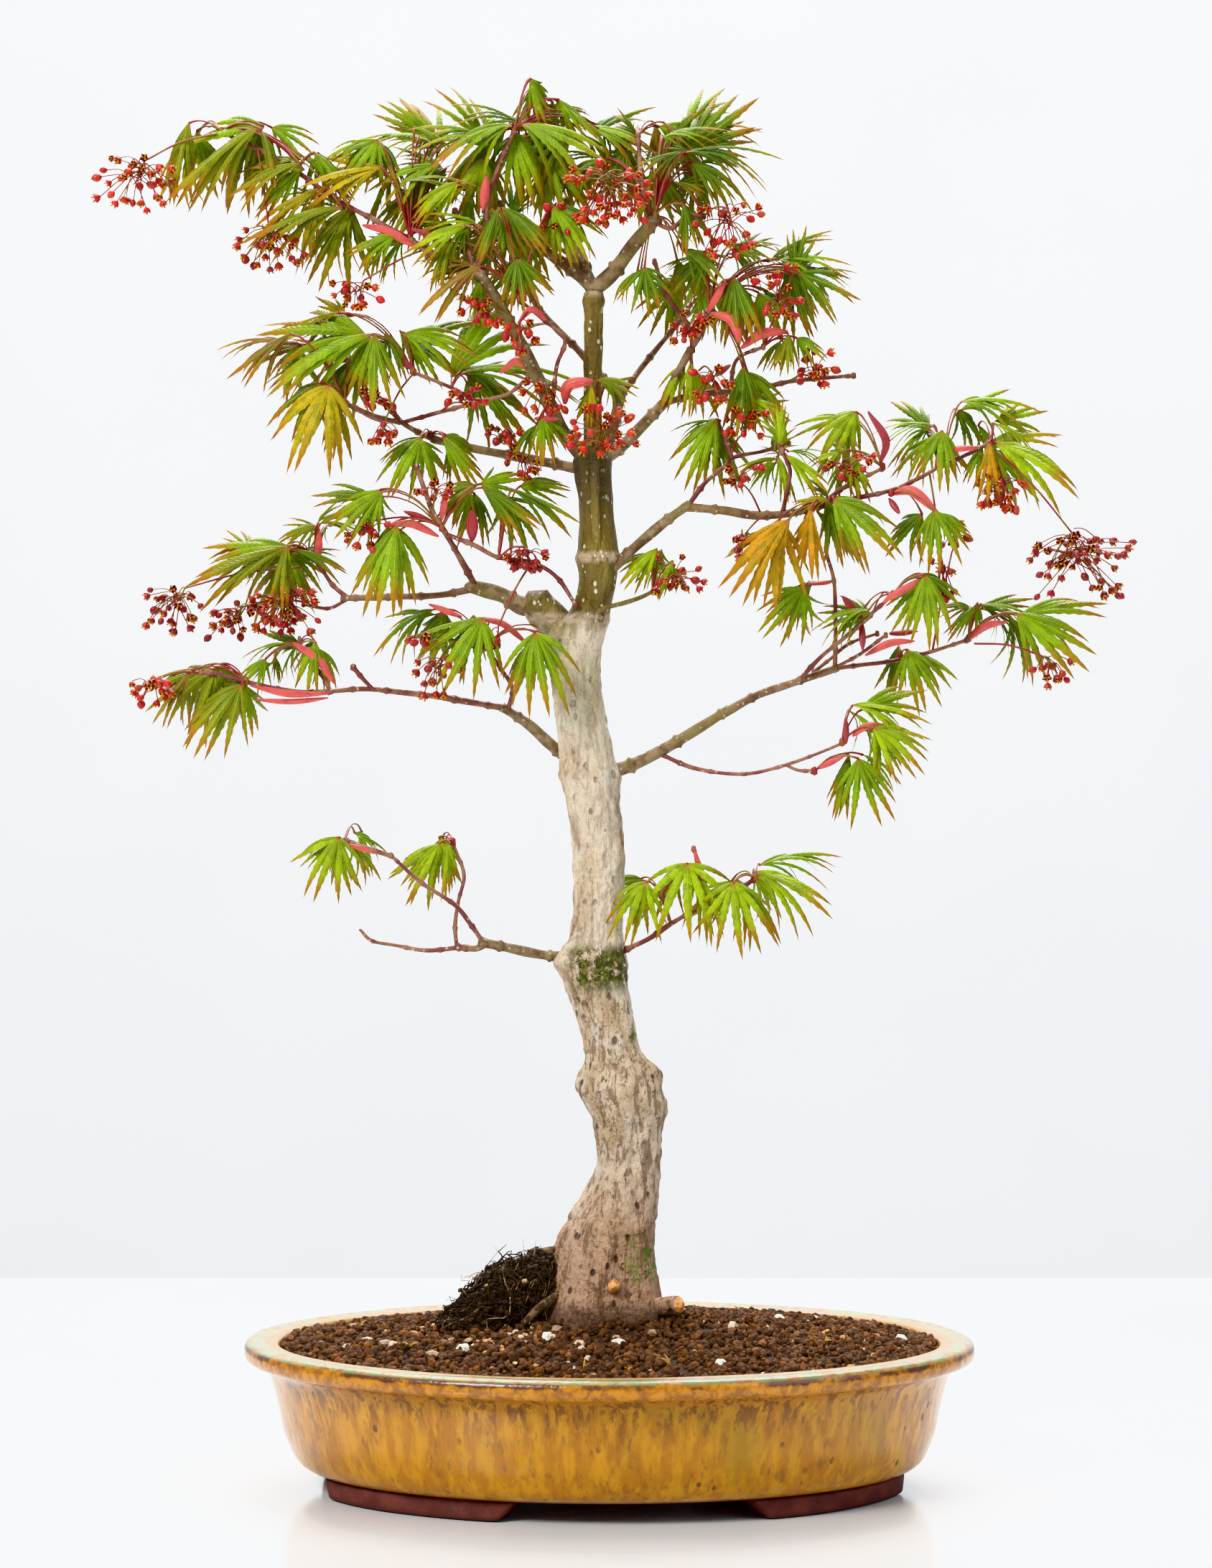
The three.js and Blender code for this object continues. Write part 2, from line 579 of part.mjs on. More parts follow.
// Each spray: where its petioles leave the shoot, its leaves, and the tips of its bud scales.
const sprays = {
  leaves_low_left: {
    at: [-128.5, -35.5, 317.5],
    leaves: [
      [-131, -36, 320, -142, -42, 291, 62, 15],
      [-127, -31, 319, -112, -24, 299, 25, 50],
    ],
    straps: [],
  },
  leaves_low_left_inner: {
    at: [-77.5, 5, 317],
    leaves: [
      [-84, 2, 316.5, -98, 0, 287, 22, 5],
      [-80, 0, 317, -80, -4, 290, 14, 20],
    ],
    straps: [],
  },
  leaves_low_right_inner: {
    at: [25.5, -12.5, 291],
    leaves: [
      [18, -18, 298, 5, -30, 272, 45, 30],
      [38, -20, 307, 36, -32, 272, 75, 15],
    ],
    straps: [],
  },
  leaves_low_right: {
    at: [71, -22.5, 300],
    leaves: [
      [60, -30, 298, 61, -40, 264, 58, 15],
      [71, -20, 303, 108, -24, 286, 26, 35],
    ],
    straps: [[62, -24, 293]],
  },
  leaves_mid_left_tip: {
    at: [-178, -13, 396],
    leaves: [
      [-180, -18, 394, -203, -26, 363, 36, 10],
      [-193, -10, 403, -204, -6, 364, 15, 20],
      [-205, -12, 401, -221, -16, 376, 14, 30],
    ],
    straps: [[-156, -14, 388]],
  },
  leaves_mid_left_upper: {
    at: [-153, -8, 413.5],
    leaves: [
      [-156, -6, 415, -182, 0, 408, 14, 60],
      [-144, -10, 415, -149, -14, 390, 32, 20],
      [-169, -8, 407, -179, -16, 393, 45, 30],
    ],
    straps: [],
  },
  leaves_mid_left_inner: {
    at: [-61, -22.5, 413],
    leaves: [
      [-62, -28, 426, -78, -38, 391, 52, 10],
      [-86, -18, 431, -116, -14, 413, 22, 40],
      [-36, -34, 419, -31, -46, 381, 52, 5],
    ],
    straps: [[-43, -24, 416]],
  },
  leaves_mid_right_low: {
    at: [113, -24.5, 366],
    leaves: [
      [118, -28, 384, 154, -30, 375, 24, 50],
      [128, -32, 373, 152, -42, 355, 44, 20],
    ],
    straps: [[133, -28, 373]],
  },
  leaves_mid_right_under: {
    at: [100, -18.5, 352],
    leaves: [[121, -26, 358, 128, -34, 327, 48, 5]],
    straps: [[115, -22, 360]],
  },
  leaves_mid_right_upper: {
    at: [138, -23, 438],
    leaves: [
      [153, -28, 447, 156, -38, 414, 32, 5],
      [127, -14, 431, 99, -8, 423, 30, 60],
    ],
    straps: [[150, -26, 445]],
  },
  leaves_mid_right_spine: {
    at: [144, 9, 410],
    leaves: [[147, 5, 412, 157, -4, 384, 40, 10]],
    straps: [[150, 6, 421]],
  },
  leaves_mid_right_tip: {
    at: [178, 10, 418],
    leaves: [
      [184, 8, 435, 219, 10, 426, 12, 60],
      [181, 6, 434, 167, 2, 418, 14, 20],
      [201, 2, 430, 233, -6, 403, 36, 15],
    ],
    straps: [[194, 6, 425]],
  },
  leaves_right_front: {
    at: [107, -8, 481],
    leaves: [
      [109, -27, 484, 137, -38, 457, 40, 15],
      [97, -33, 479, 98, -42, 447, 14, 5],
      [87, -30, 474, 59, -42, 440, 26, 15],
    ],
    straps: [],
  },
  leaves_right_middle: {
    at: [138, -11, 488.5],
    leaves: [[158, -21, 479, 163, -30, 451, 50, 10]],
    straps: [[157, -18, 481]],
  },
  leaves_right_rise: {
    at: [164, -5, 503.5],
    leaves: [
      [163, -10, 519, 159, -18, 491, 45, 5],
      [160, 0, 523, 129, 4, 518, 10, 75],
      [174, 6, 535, 212, 8, 531, 30, 50],
    ],
    straps: [[178, -6, 510]],
  },
  leaves_right_tip: {
    at: [188, -4, 514],
    leaves: [
      [190, -6, 513, 230, -12, 493, 26, 25],
      [186, -12, 513, 185, -20, 485, 18, 5],
      [189, 2, 524, 212, 4, 511, 16, 50],
    ],
    straps: [],
  },
  leaves_right_second: {
    at: [134.5, -2, 502],
    leaves: [
      [122, 6, 530, 102, 0, 508, 50, 25],
      [113, -4, 509, 99, -8, 502, 40, 40],
      [119, -6, 507, 124, -12, 485, 22, 5],
    ],
    straps: [[134, -2, 520]],
  },
  leaves_upper_right: {
    at: [49, -0.5, 580],
    leaves: [
      [61, -4, 595, 68, -12, 564, 30, 10],
      [92, 10, 601, 99, 8, 621, 60, 10],
      [93, 8, 599, 121, 2, 584, 40, 15],
      [66, 6, 552, 66, -4, 519, 25, 10],
    ],
    straps: [[57, -4, 592], [62, -2, 566]],
  },
  leaves_crown_right: {
    at: [22, -14, 624],
    leaves: [
      [37, -8, 656, 83, -10, 651, 14, 55],
      [35, -12, 655, 14, -16, 647, 18, 40],
      [36, -16, 629, 40, -20, 605, 20, 10],
      [17, -18, 598, 19, -24, 575, 60, 10],
      [36, -12, 607, 58, -14, 594, 30, 35],
    ],
    straps: [],
  },
  leaves_crown_top: {
    at: [-46.5, -10, 667.5],
    leaves: [
      [-48, -12, 669, -88, -18, 652, 22, 40],
      [-43, -12, 669, -4, -20, 652, 28, 35],
      [-39, -8, 692, -33, -12, 669, 16, 10],
      [-25, -2, 683, -8, -8, 662, 18, 10],
    ],
    straps: [],
  },
  leaves_crown_inner: {
    at: [-44, -20, 582.5],
    leaves: [
      [-54, -26, 626, -62, -32, 600, 12, 5],
      [-52, -26, 626, -29, -34, 606, 18, 20],
      [-45, -24, 601, -40, -32, 576, 50, 5],
      [-63, -28, 597, -92, -36, 576, 18, 20],
    ],
    straps: [[-48, -22, 597]],
  },
  leaves_crown_left: {
    at: [-98, -9.5, 613.5],
    leaves: [
      [-105, -14, 614, -127, -18, 603, 32, 20],
      [-114, -8, 662, -128, -14, 638, 55, 10],
      [-101, -10, 641, -66, -12, 642, 10, 60],
      [-96, -4, 669, -78, -4, 660, 12, 40],
    ],
    straps: [[-118, -12, 618]],
  },
  leaves_far_left: {
    at: [-191, -4, 667],
    leaves: [
      [-173, -8, 668, -213, -16, 633, 15, 20],
      [-171, -8, 667, -161, -14, 640, 10, 20],
      [-207, -4, 671, -215, -8, 633, 18, 10],
      [-152, -12, 650, -186, -14, 634, 16, 30],
      [-131, -14, 628, -178, -20, 611, 14, 30],
    ],
    straps: [],
  },
  leaves_upper_left: {
    at: [-97, -4.5, 549],
    leaves: [
      [-116, -14, 566, -166, -20, 542, 12, 25],
      [-115, -16, 565, -113, -26, 530, 28, 5],
      [-101, -6, 567, -66, -10, 562, 30, 30],
    ],
    straps: [[-106, -8, 557]],
  },
  leaves_upper_left_tip: {
    at: [-130, -11, 533],
    leaves: [
      [-137, -20, 540, -150, -32, 500, 52, 8],
      [-157, -6, 567, -184, -10, 544, 14, 20],
      [-129, 4, 557, -171, 8, 550, 10, 60],
    ],
    straps: [],
  },
  leaves_left_under: {
    at: [-89, 17, 519.5],
    leaves: [
      [-93, -4, 516, -104, -16, 488, 45, 8],
      [-82, 4, 517, -66, -6, 494, 20, 10],
    ],
    straps: [],
  },
  leaves_left_shoot: {
    at: [-81.5, -29, 470],
    leaves: [
      [-110, -36, 487, -132, -44, 466, 35, 10],
      [-103, -38, 470, -112, -50, 430, 30, 5],
      [-66, -22, 490, -84, -28, 475, 22, 15],
      [-62, -24, 490, -38, -34, 470, 18, 15],
    ],
    straps: [[-104, -34, 471], [-80, -30, 488]],
  },
  leaves_left_long: {
    at: [-147, 15, 458],
    leaves: [
      [-146, 14, 474, -165, 12, 466, 35, 30],
      [-144, 14, 475, -122, 16, 483, 25, 40],
      [-160, 6, 463, -205, 0, 443, 18, 20],
      [-159, 2, 463, -163, -8, 433, 18, 5],
    ],
    straps: [[-144, 12, 471]],
  },
  leaves_back: {
    at: [-50.5, 82.5, 617.5],
    leaves: [
      [-60, 86, 628, -80, 92, 604, 45, 150],
      [-44, 88, 634, -22, 96, 612, 45, 150],
      [-54, 78, 640, -62, 66, 664, 40, 60],
    ],
    straps: [],
  },
};

function spraySolid({ at, leaves, straps }) {
  const knuckle = solidOf(new THREE.OctahedronGeometry(KNUCKLE_RADIUS * TREE_SIZE)).translate(...spot(at).toArray());
  const blades = leaves.flatMap((row) => {
    const base = row.slice(0, 3);
    const joint = solidOf(new THREE.TetrahedronGeometry(LEAF_JOINT * TREE_SIZE));
    return [petioleSolid(at, base), joint.translate(...spot(base).toArray()), leafSolid(row)];
  });
  return union([knuckle, ...blades, ...straps.map((tip) => strapSolid(at, tip))]);
}

// ---- Flowers ----

// Each cluster: where its stalk leaves the wood, the stalk's end, and the width and drop of the buds.
const clusters = {
  flowers_far_left: { from: [-193, -8, 665], hub: [-232, -10, 652], width: 36, drop: 22 },
  flowers_crown: { from: [18, -20, 630], hub: [0, -24, 646], width: 34, drop: 26 },
  flowers_left_leader: { from: [-57, -24, 584], hub: [-64, -30, 586], width: 24, drop: 18 },
  flowers_left_long: { from: [-152, 10, 437.5], hub: [-162, 6, 442], width: 26, drop: 18 },
  flowers_left_tip: { from: [-152, 8, 453], hub: [-212, 2, 437], width: 30, drop: 16 },
  flowers_right_far: { from: [190, -10, 509], hub: [234, -14, 464], width: 46, drop: 24 },
  flowers_right_low: { from: [180, 2, 415], hub: [217, -4, 412], width: 16, drop: 14 },
  flowers_front: { from: [-7.5, -14, 513.5], hub: [-4, -22, 528], width: 18, drop: 16 },
};

// Bud k hangs under the hub, each turned a golden angle on from the last.
const GOLDEN_ANGLE = radians(137.5);

function clusterSolid({ from, hub, width, drop }) {
  const stalk = taperedTube(
    [from, from.map((v, k) => (v + hub[k]) / 2 + (k === 2 ? 4 : 0)), hub],
    [PEDICEL_RADIUS * 2, PEDICEL_RADIUS * 1.6],
    5,
    3,
  );
  const sprigs = Array.from({ length: BUDS_EACH }, (_, k) => {
    const spread = (width / 2) * Math.sqrt((k + 0.6) / BUDS_EACH);
    const bud = [
      hub[0] + spread * Math.cos(k * GOLDEN_ANGLE),
      hub[1] + 0.6 * spread * Math.sin(k * GOLDEN_ANGLE),
      hub[2] - drop * (0.35 + (0.65 * (BUDS_EACH - k)) / BUDS_EACH),
    ];
    const head = new THREE.OctahedronGeometry(BUD_RADIUS * TREE_SIZE);
    const pedicel = taperedTube([hub, bud], [PEDICEL_RADIUS, PEDICEL_RADIUS], 3, 1);
    return pedicel.add(solidOf(head).translate(...spot(bud).toArray()));
  });
  return union([stalk, ...sprigs]);
}

// ---- The object ----

addPiece("pot", potSolid(), 0xa9822f, 0.25);

const footAngles = [FOOT_ANGLE, 180 - FOOT_ANGLE, 180 + FOOT_ANGLE, 360 - FOOT_ANGLE];
const footNames = ["foot_front_right", "foot_front_left", "foot_back_left", "foot_back_right"];
footNames.forEach((name, k) => addPiece(name, footSolid(footAngles[k] + FOOT_TURN), 0x4a2a20, 0.6));

drains.forEach((x, k) => {
  const side = ["left", "right"][k];
  addPiece(`drain_screen_${side}`, screenSolid(x), 0x202020, 0.6);
  addPiece(`screen_clip_${side}`, clipSolid(x), 0xb0b0b0, 0.4);
});

addPiece("trunk", trunkSolid(), 0xb5a695, 0.85);
addPiece("surface_roots", rootSolid(), 0x4b3b2c, 0.95);
addPiece("soil", soilSolid(), 0x3a2a20, 0.95);

Object.entries(limbs).forEach(([name, stems]) => {
  addPiece(name, union(stems.map((row) => stem(row))), 0x8a7458, 0.8);
});
Object.entries(sprays).forEach(([name, spray]) => addPiece(name, spraySolid(spray), 0x8fb020, 0.55));
Object.entries(clusters).forEach(([name, cluster]) => {
  addPiece(name, clusterSolid(cluster), 0xb02028, 0.5);
});

export default group;
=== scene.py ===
"""A flowering maple bonsai in an oval glazed pot: the looks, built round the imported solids."""

import math

import bmesh
import bpy
import numpy as np
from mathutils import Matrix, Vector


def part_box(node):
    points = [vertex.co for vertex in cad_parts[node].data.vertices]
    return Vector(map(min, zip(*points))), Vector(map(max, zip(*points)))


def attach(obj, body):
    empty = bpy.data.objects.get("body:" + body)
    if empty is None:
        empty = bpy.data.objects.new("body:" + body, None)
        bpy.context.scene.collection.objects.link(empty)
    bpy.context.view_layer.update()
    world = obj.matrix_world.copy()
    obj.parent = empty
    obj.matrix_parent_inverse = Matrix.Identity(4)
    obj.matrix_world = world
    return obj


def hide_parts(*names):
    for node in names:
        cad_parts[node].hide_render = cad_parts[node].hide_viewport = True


bl_info = {
    "name": "Flowering Maple Bonsai",
    "version": (1, 0, 0),
    "blender": (4, 5, 0),
    "location": "View3D > Sidebar > Bonsai",
    "description": "Builds a small flowering maple in an oval glazed pot",
    "category": "Add Mesh",
}

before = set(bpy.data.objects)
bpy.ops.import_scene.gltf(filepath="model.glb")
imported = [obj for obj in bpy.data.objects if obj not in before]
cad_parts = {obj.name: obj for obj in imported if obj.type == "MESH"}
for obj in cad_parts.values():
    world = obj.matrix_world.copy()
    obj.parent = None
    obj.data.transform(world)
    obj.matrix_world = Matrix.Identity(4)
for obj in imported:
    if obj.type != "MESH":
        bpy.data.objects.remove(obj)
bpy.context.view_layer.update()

MM = 0.001
POT_LOW, POT_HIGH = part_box("pot")
RIM = POT_HIGH[2]
HALF_LENGTH = (POT_HIGH[0] - POT_LOW[0]) / 2
HALF_DEPTH = (POT_HIGH[1] - POT_LOW[1]) / 2
FOOT_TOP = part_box("foot_front_left")[1][2]
SOIL_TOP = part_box("soil")[1][2] - 0.003
COLLAR = 84  # height in the lists below, in mm, where the trunk meets the soil

# ---- The tree's own lists, in mm: x, y and z of each point ----

# Rings up the trunk: the height, how far the middle leans to the right, and the radius.
TRUNK_RINGS = [
    (58, -4, 34), (80, -4, 31), (95, -4, 27.5), (112, -3, 24.5), (125, -1, 22.5), (135, 2.5, 20),
    (148, 6.5, 17), (160, 9, 15), (175, 9, 16), (186, 8.5, 18.7), (197, 5, 20), (206, 5, 17.5),
    (214, 1.5, 14), (228, -1.5, 13.8), (245, -6, 15), (258, -9, 16.5), (270, -6.2, 13.2), (290, -5, 12.5),
    (312, -5.5, 12.5), (332, -7.5, 13), (350, -10, 14), (370, -13, 12.5), (392, -16, 12.2),
    (410, -17.5, 13.2), (421, -16, 14.5), (432, -9.5, 10), (445, -6, 9.3), (458, -5.8, 10.2),
    (480, -6.5, 8.5), (504, -8.5, 9), (514, -8.2, 5), (550, -8.2, 4.6), (588, -7.8, 4.8),
]

# Shoots that lie against the trunk: the first and last radius, and points along the middle.
TRUNK_STEMS = [
    (2.2, 2.2, [[-6, -8, 457], [-7, -11, 480], [-7.5, -13, 512]]),
    (1.4, 1, [[-11, -6, 428], [-2, -12, 432], [6, -14, 434], [15, -13, 437], [21, -12, 440]]),
]

# The stems of each limb, written in the same way.
LIMBS = {
    "limb_low_left": [
        (2.7, 2.4, [[-14, 0, 261], [-30, -1, 261], [-47, -6, 264.5], [-62, -12, 268]]),
        (1.9, 1.7, [[-61, -12, 267], [-66, -11, 265], [-74, -10, 265.5]]),
        (1.4, 0.9, [[-73, -10, 265.5], [-90, -8, 264], [-106, -6, 266.5], [-117, -4, 268.5],
            [-123, -3, 274]]),
        (1.5, 1, [[-62, -12, 268], [-68, -15, 277], [-76, -19, 287], [-92, -26, 298], [-106, -32, 311]]),
        (1.5, 1.5, [[-105, -31, 310.5], [-116, -34, 314], [-127, -35, 317]]),
        (1.2, 1, [[-75, -10, 265.5], [-76, -6, 276], [-74.5, -2, 288], [-72, 2, 301], [-77, 5, 315]]),
    ],
    "limb_low_right": [
        (1.6, 1.2, [[0, 0, 260], [10, -3, 265], [20, -6, 270], [30, -9, 277], [42, -14, 284],
            [58, -19, 291], [70, -22, 299]]),
        (1, 0.9, [[30, -9, 277], [28, -10, 284], [26, -12, 290]]),
        (1.3, 1.1, [[47, -15, 287], [46, -17, 300], [41, -18, 314]]),
    ],
    "limb_mid_left": [
        (3.2, 2.3, [[-14, 0, 352], [-30, 2, 366], [-40, 4, 375], [-52, 6, 383]]),
        (1.9, 1.4, [[-50, 6, 383], [-68, 6, 386], [-86, 4, 389], [-104, 1, 391], [-120, -3, 392.5],
            [-138, -8, 391]]),
        (1.6, 1.2, [[-136, -8, 391], [-155, -10, 391], [-175, -12, 395], [-190, -12, 399],
            [-200, -12, 400.5]]),
        (1.4, 1.2, [[-137, -8, 391], [-142, -8, 400], [-152, -8, 412]]),
        (1.1, 1.4, [[-116, -3, 392], [-121, -5, 397], [-126, -6, 403]]),
        (1.4, 1.2, [[-50, 5, 383], [-48, -4, 393], [-54, -14, 403], [-60, -22, 412]]),
    ],
    "limb_mid_right": [
        (3.6, 2.3, [[-4, 0, 350], [12, 2, 355.5], [25, 4, 362], [42, 7, 372], [58, 10, 382]]),
        (2.3, 1.9, [[57, 10, 381], [74, 13, 390], [93, 15, 396.5], [112, 15, 403]]),
        (1.4, 1.2, [[111, 15, 403], [126, 13, 405], [142, 11, 407], [160, 10, 411.5], [177, 10, 417]]),
        (1.4, 0.9, [[26, 4, 360], [40, -2, 354], [56, -8, 351], [70, -12, 351], [86, -16, 355],
            [100, -21, 360], [112, -24, 365]]),
        (1, 1, [[86, -16, 355], [92, -17, 352.5], [99, -18, 352]]),
        (1.4, 1.1, [[94, 15, 397], [104, 6, 408], [116, -4, 418], [127, -12, 428], [137, -22, 437]]),
        (1.3, 1.1, [[112, 15, 403], [112, 10, 424], [111, 6, 446], [107, 2, 461], [108, -4, 477]]),
        (1, 0.9, [[111, 6, 446], [104, 8, 445.5], [98, 10, 445]]),
        (1.2, 1, [[101, 17, 401], [110, 22, 408], [120, 26, 416], [134, 28, 421]]),
        (1.2, 1, [[113, 14, 404], [124, 4, 410], [136, -2, 419]]),
    ],
    "limb_long_right": [
        (2.6, 2.4, [[-2, -2, 449], [10, -5, 460], [24, -8, 472], [38, -10, 482]]),
        (2.3, 2, [[36, -10, 481.5], [55, -9, 480], [75, -7, 477.5], [95, -6, 480], [106, -6, 484]]),
        (1.5, 1.1, [[105, -6, 483.5], [120, -7, 486], [137, -9, 489.5], [150, -8, 495], [163, -6, 502]]),
        (1.4, 1.2, [[162, -6, 501.5], [174, -5, 507], [186, -4, 513]]),
        (1.4, 1.1, [[105, -6, 484], [113, -5, 490], [124, -4, 496], [134, -2, 501]]),
        (1.5, 1.1, [[39, -10, 483], [47, -4, 494], [56, 6, 502], [62, 12, 508], [76, 14, 511],
            [89, 15, 515]]),
        (1.3, 1.2, [[61, 11, 507], [58, 15, 516], [54, 18, 526]]),
        (1.3, 1.1, [[85, -6, 479], [87, -13, 490], [88, -18, 499], [84, -21, 508]]),
    ],
    "limb_upper_right": [
        (3.2, 2.6, [[-8, 2, 503], [4, 6, 511], [15, 11, 522], [27, 15, 535]]),
        (2, 1.2, [[26, 15, 535], [46, 17, 540], [70, 20, 542], [92, 23, 547], [122, 26, 550]]),
        (2.2, 2, [[27, 14, 535], [32, 8, 546], [40, 2, 560]]),
        (1.9, 1.3, [[39, 2, 559], [45, 1, 568], [48, 0, 579]]),
        (1.5, 1.1, [[41, 2, 563], [38, -1, 573], [28, -5, 586], [22, -9, 602]]),
        (1.3, 1.1, [[60, 18, 541], [63, 10, 556], [76, 6, 562]]),
    ],
    "limb_crown": [
        (3.9, 3.3, [[-8, 0, 589.5], [2, -3, 598], [12, -8, 611], [22, -12, 622]]),
        (1.8, 1.3, [[21, -12, 621], [16, -10, 640], [14, 2, 666]]),
        (1.5, 1.2, [[22, -12, 621], [30, -12, 618], [38, -12, 624], [46, -12, 624]]),
        (3.2, 2.2, [[-8, 0, 589.5], [-20, 4, 601], [-31, 8, 609], [-44, 12, 620], [-56, 16, 634]]),
        (4, 2.6, [[-8, 1, 589.5], [-16, 16, 608], [-18, 32, 622], [-22, 44, 640]]),
    ],
    "limb_left_leader": [
        (3.6, 3.4, [[-12, -2, 505], [-24, -6, 521], [-34, -9, 542], [-43, -11, 560]]),
        (3.2, 2.8, [[-42, -11, 559], [-50, -14, 573], [-60, -17, 590], [-66, -18, 597]]),
        (2.1, 1.8, [[-65, -18, 595], [-77, -16, 599], [-88, -13, 606], [-97, -10, 612]]),
        (1.6, 1.3, [[-96, -10, 611], [-114, -7, 622], [-134, -5, 633], [-154, -4, 647], [-175, -4, 659],
            [-190, -4, 666]]),
        (1.6, 1.3, [[-65, -18, 596], [-60, -16, 612], [-60, -14, 630], [-56, -12, 644], [-47, -10, 666]]),
        (1.7, 1.4, [[-66, -18, 596], [-70, -13, 610], [-76, -8, 627]]),
        (1.3, 1, [[-68, -14, 603], [-78, -4, 612], [-90, 4, 622], [-103, 10, 633]]),
        (1.3, 1, [[-28, -8, 533], [-26, -14, 550], [-22, -16, 563], [-32, -18, 572], [-43, -20, 581]]),
    ],
    "limb_upper_left": [
        (2.8, 2, [[-13, 2, 501], [-30, 10, 505], [-48, 17, 509], [-68, 20, 513], [-87, 16, 517]]),
        (1.9, 1.4, [[-86, 16, 517], [-96, 14, 521], [-104, 10, 526], [-110, 8, 534]]),
        (1.3, 1.2, [[-103, 11, 525], [-84, 8, 530], [-66, 2, 534], [-50, -2, 538], [-40, -5, 546]]),
        (1.2, 1.1, [[-66, 2, 534], [-78, -1, 541], [-96, -4, 548]]),
        (1.6, 1.5, [[-104, 10, 525], [-116, 0, 527], [-129, -10, 532]]),
    ],
    "limb_stub_left": [
        (5, 3.4, [[-34, -3, 433], [-44, -3, 434], [-54, -2, 439], [-68, -1, 443]]),
        (2, 1.7, [[-67, -1, 442], [-84, 2, 439], [-104, 8, 438.5], [-132, 14, 438]]),
        (1.6, 1.2, [[-130, 14, 438], [-138, 15, 445], [-146, 15, 457]]),
        (1.2, 1, [[-131, 14, 437], [-140, 14, 433], [-152, 12, 435]]),
        (1.9, 1.3, [[-66, -1, 443], [-72, -12, 454], [-80, -26, 468], [-86, -28, 478], [-94, -22, 500]]),
        (1.4, 1.2, [[-79, -26, 467], [-66, -24, 462], [-54, -22, 456], [-38, -18, 454], [-26, -14, 447],
            [-17, -11, 434]]),
    ],
    "limb_back": [
        (3.6, 2.8, [[-8, 4, 486], [-6, 24, 500], [0, 46, 520], [6, 60, 545]]),
        (2.4, 1.6, [[5, 58, 542], [-14, 72, 566], [-36, 80, 590], [-50, 82, 616]]),
        (2, 1.4, [[6, 59, 544], [22, 70, 566], [40, 76, 588]]),
    ],
}

